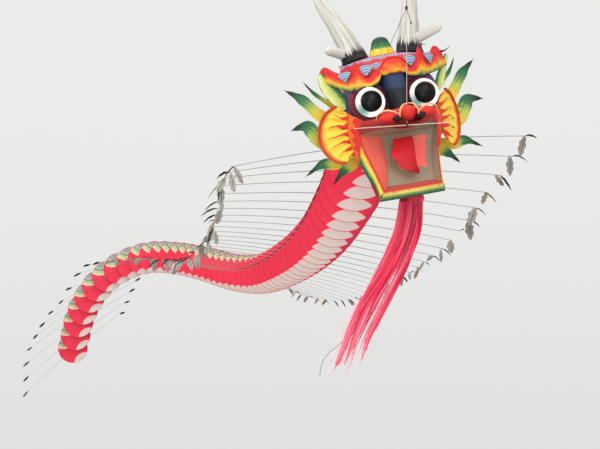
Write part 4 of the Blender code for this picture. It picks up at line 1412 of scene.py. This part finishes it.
def stick_path(centre, roll):
    """Points along one cross stick, which sags towards its ends."""
    foot = centre - upward_of(roll) * STICK_DROP + FORWARD * STICK_BACK
    shares = [-1 + 2 * i / 16 for i in range(17)]
    return [foot + across_of(roll) * (STICK_HALF * s) - UP * (STICK_DROOP * s * s) for s in shares]


FEATHER_OUTLINE = ((0.0, 0.1), (0.15, 0.62), (0.45, 1.0), (0.75, 0.85), (0.92, 0.45), (1.0, 0.06))


def feather(shape, base, away, length, width, droop, twist, slot=0):
    """A curved vane that hangs from a stick's end. twist turns its face away from the front."""
    across = away.cross(FORWARD)
    across = (across if across.length > 0.05 else UP).normalized()
    broad = across * cos(twist) + FORWARD * sin(twist)
    rows = []
    for j in range(10):
        t = j / 9
        here = base + away * (length * t) - UP * (droop * t * t)
        half = width / 2 * between(FEATHER_OUTLINE, t)
        ragged = 1 + 0.22 * sin(19 * t + 40 * twist)
        left = here - broad * (half * ragged)
        rows.append([left, here - FORWARD * (0.15 * width), here + broad * (half * (2 - ragged) * 0.85)])
    shape.grid(rows, slot=slot)


def stick_feathers(shape, end, out, tail, scale):
    """The feathers on one stick's end: a pale one and a thin dark one, or one black point by the tail."""
    if tail:
        away = (out + Vector((0.0, 0.0, dice.uniform(-0.3, 0.1)))).normalized()
        size = (dice.uniform(0.05, 0.07), dice.uniform(0.014, 0.02), 0.006)
        feather(shape, end - out * 0.012, away, *size, 0.3, 1)
        return
    some = dice.uniform
    if dice.random() < 0.8:
        away = out * some(-0.6, 0.5) + Vector((0.0, some(-0.3, 0.3), some(-0.9, -0.2)))
        size = (some(0.034, 0.056) * scale, some(0.018, 0.03) * scale, some(0.004, 0.02))
        feather(shape, end - out * some(0.0, 0.02), away.normalized(), *size, some(-0.7, 0.7))
    if dice.random() < 0.9:
        away = out * some(0.1, 1.0) + Vector((0.0, some(-0.3, 0.3), some(-0.3, 0.3)))
        size = (some(0.032, 0.05) * scale, some(0.006, 0.013), some(0.02, 0.044) * scale)
        feather(shape, end - out * some(0.0, 0.02), away.normalized(), *size, some(-0.6, 0.6), 1)


def cord_run(shape, start, end, thick, steps=4):
    """The keel cord and the two side cords from one disc to the next."""
    for s in (-1.0, 0.0, 1.0):
        a = start[0] + across_of(start[1]) * (CORD_AT * s)
        b = end[0] + across_of(end[1]) * (CORD_AT * s)
        shape.tube(bowed(a, b, steps), thick if s else 0.001, 6, up=UP)


def cord_look(section):
    """The side cords' radius and finish: thick and dark near the head, thin and red behind."""
    return (0.002, "dark_cord") if section < 6 else (0.001, "hoop")


# How large the left feathers are in each section; the right ones are 1.3 in the first two, then 0.95.
LEFT_FEATHERS = (1.4, 1.5, 1.3, 1.0, 1.5, 1.8, 1.5, 1.2, 1.0, 1.0, 1.0, 1.0)
FIRST_TAIL_SECTION = 9


def train_section(places, section):
    """Four discs with their hoops, cross sticks, feathers and the cords between them."""
    word = f"{section + 1:02d}"
    body = f"train_{word}"
    chosen = places[section * PER_SECTION : (section + 1) * PER_SECTION]
    silks = Shape()
    hoops = Shape()
    sticks = Shape()
    feathers = Shape()
    thick = 0.0018 if section < 4 else 0.0014
    for centre, roll in chosen:
        disc(silks, centre, roll)
        hoop(hoops, centre, roll)
        path = stick_path(centre, roll)
        sticks.tube(path, lambda t: thick - 0.0007 * abs(2 * t - 1), 6)
        right_scale = 1.3 if section < 2 else 0.95
        for side, end, scale in ((-1, path[0], LEFT_FEATHERS[section]), (1, path[-1], right_scale)):
            stick_feathers(feathers, end, across_of(roll) * side, section >= FIRST_TAIL_SECTION, scale)
    piece = silks.make(f"disc_silks_{word}", "disc", body, None, [f"silk_discs_{word}"])
    hoops.make(f"disc_hoops_{word}", "hoop", body)
    sticks.make(f"cross_sticks_{word}", "stick", body, nodes=[f"whiskers_{word}"])
    feathers.make(f"feathers_{word}", ["feather", "quill"], body)
    strings = Shape()
    thick, key = cord_look(section)
    for start, end in zip(chosen, chosen[1:]):
        cord_run(strings, start, end, thick)
    strings.make(f"train_cords_{word}", key, body)


def train():
    """All the sections, and the cords that join them to each other and to the head."""
    places = train_places()
    for section in range(SECTIONS):
        train_section(places, section)
    for section in range(1, SECTIONS):
        before, after = places[section * PER_SECTION - 1 : section * PER_SECTION + 1]
        shape = Shape()
        thick, key = cord_look(section)
        cord_run(shape, before, after, thick, 10)
        link = shape.make(f"link_cords_{section + 1:02d}", key, None)
        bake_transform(link)
    neck = Shape()
    centre, roll = places[0]
    for s, hook in NECK_HOOKS:
        end = centre + across_of(roll) * (CORD_AT * s)
        neck.tube(bowed(HEAD_MATRIX @ Vector(hook), end, 10), 0.0016, 6, up=UP)
    piece = neck.make("neck_cords", "dark_cord", None)
    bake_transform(piece)


# ---- CAD nodes that stay visible ----
KEPT = {"skull_frame": "cane", "jaw_pin": "cane", "tow_ring": "steel"}
for word in ("left", "right"):
    KEPT[f"eye_axle_{word}"] = "cane"
    KEPT[f"eye_socket_{word}"] = "maroon"
    KEPT[f"horn_socket_{word}"] = "cane"
    KEPT[f"horn_peg_{word}"] = "cane"


def dress_frame():
    """Finishes for the CAD nodes that are shown as they are."""
    for node, key in KEPT.items():
        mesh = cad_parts[node].data
        mesh.materials.clear()
        mesh.materials.append(MATS[key])


stage_and_light()
bridle()
brow()
brow_bump()
brow_fans()
brow_curls()
forehead()
face()
nose()
upper_lip()
lip_bar()
crown()
mouth_sides()
mouth_inside()
lower_lip()
jaw_edges()
tongue()
for side, word in ((-1, "left"), (1, "right")):
    eye(side, word)
    ear(side, word)
    mane(side, word)
    horn(side, word)
    cheek(side, word)
train()
beard()
dress_frame()
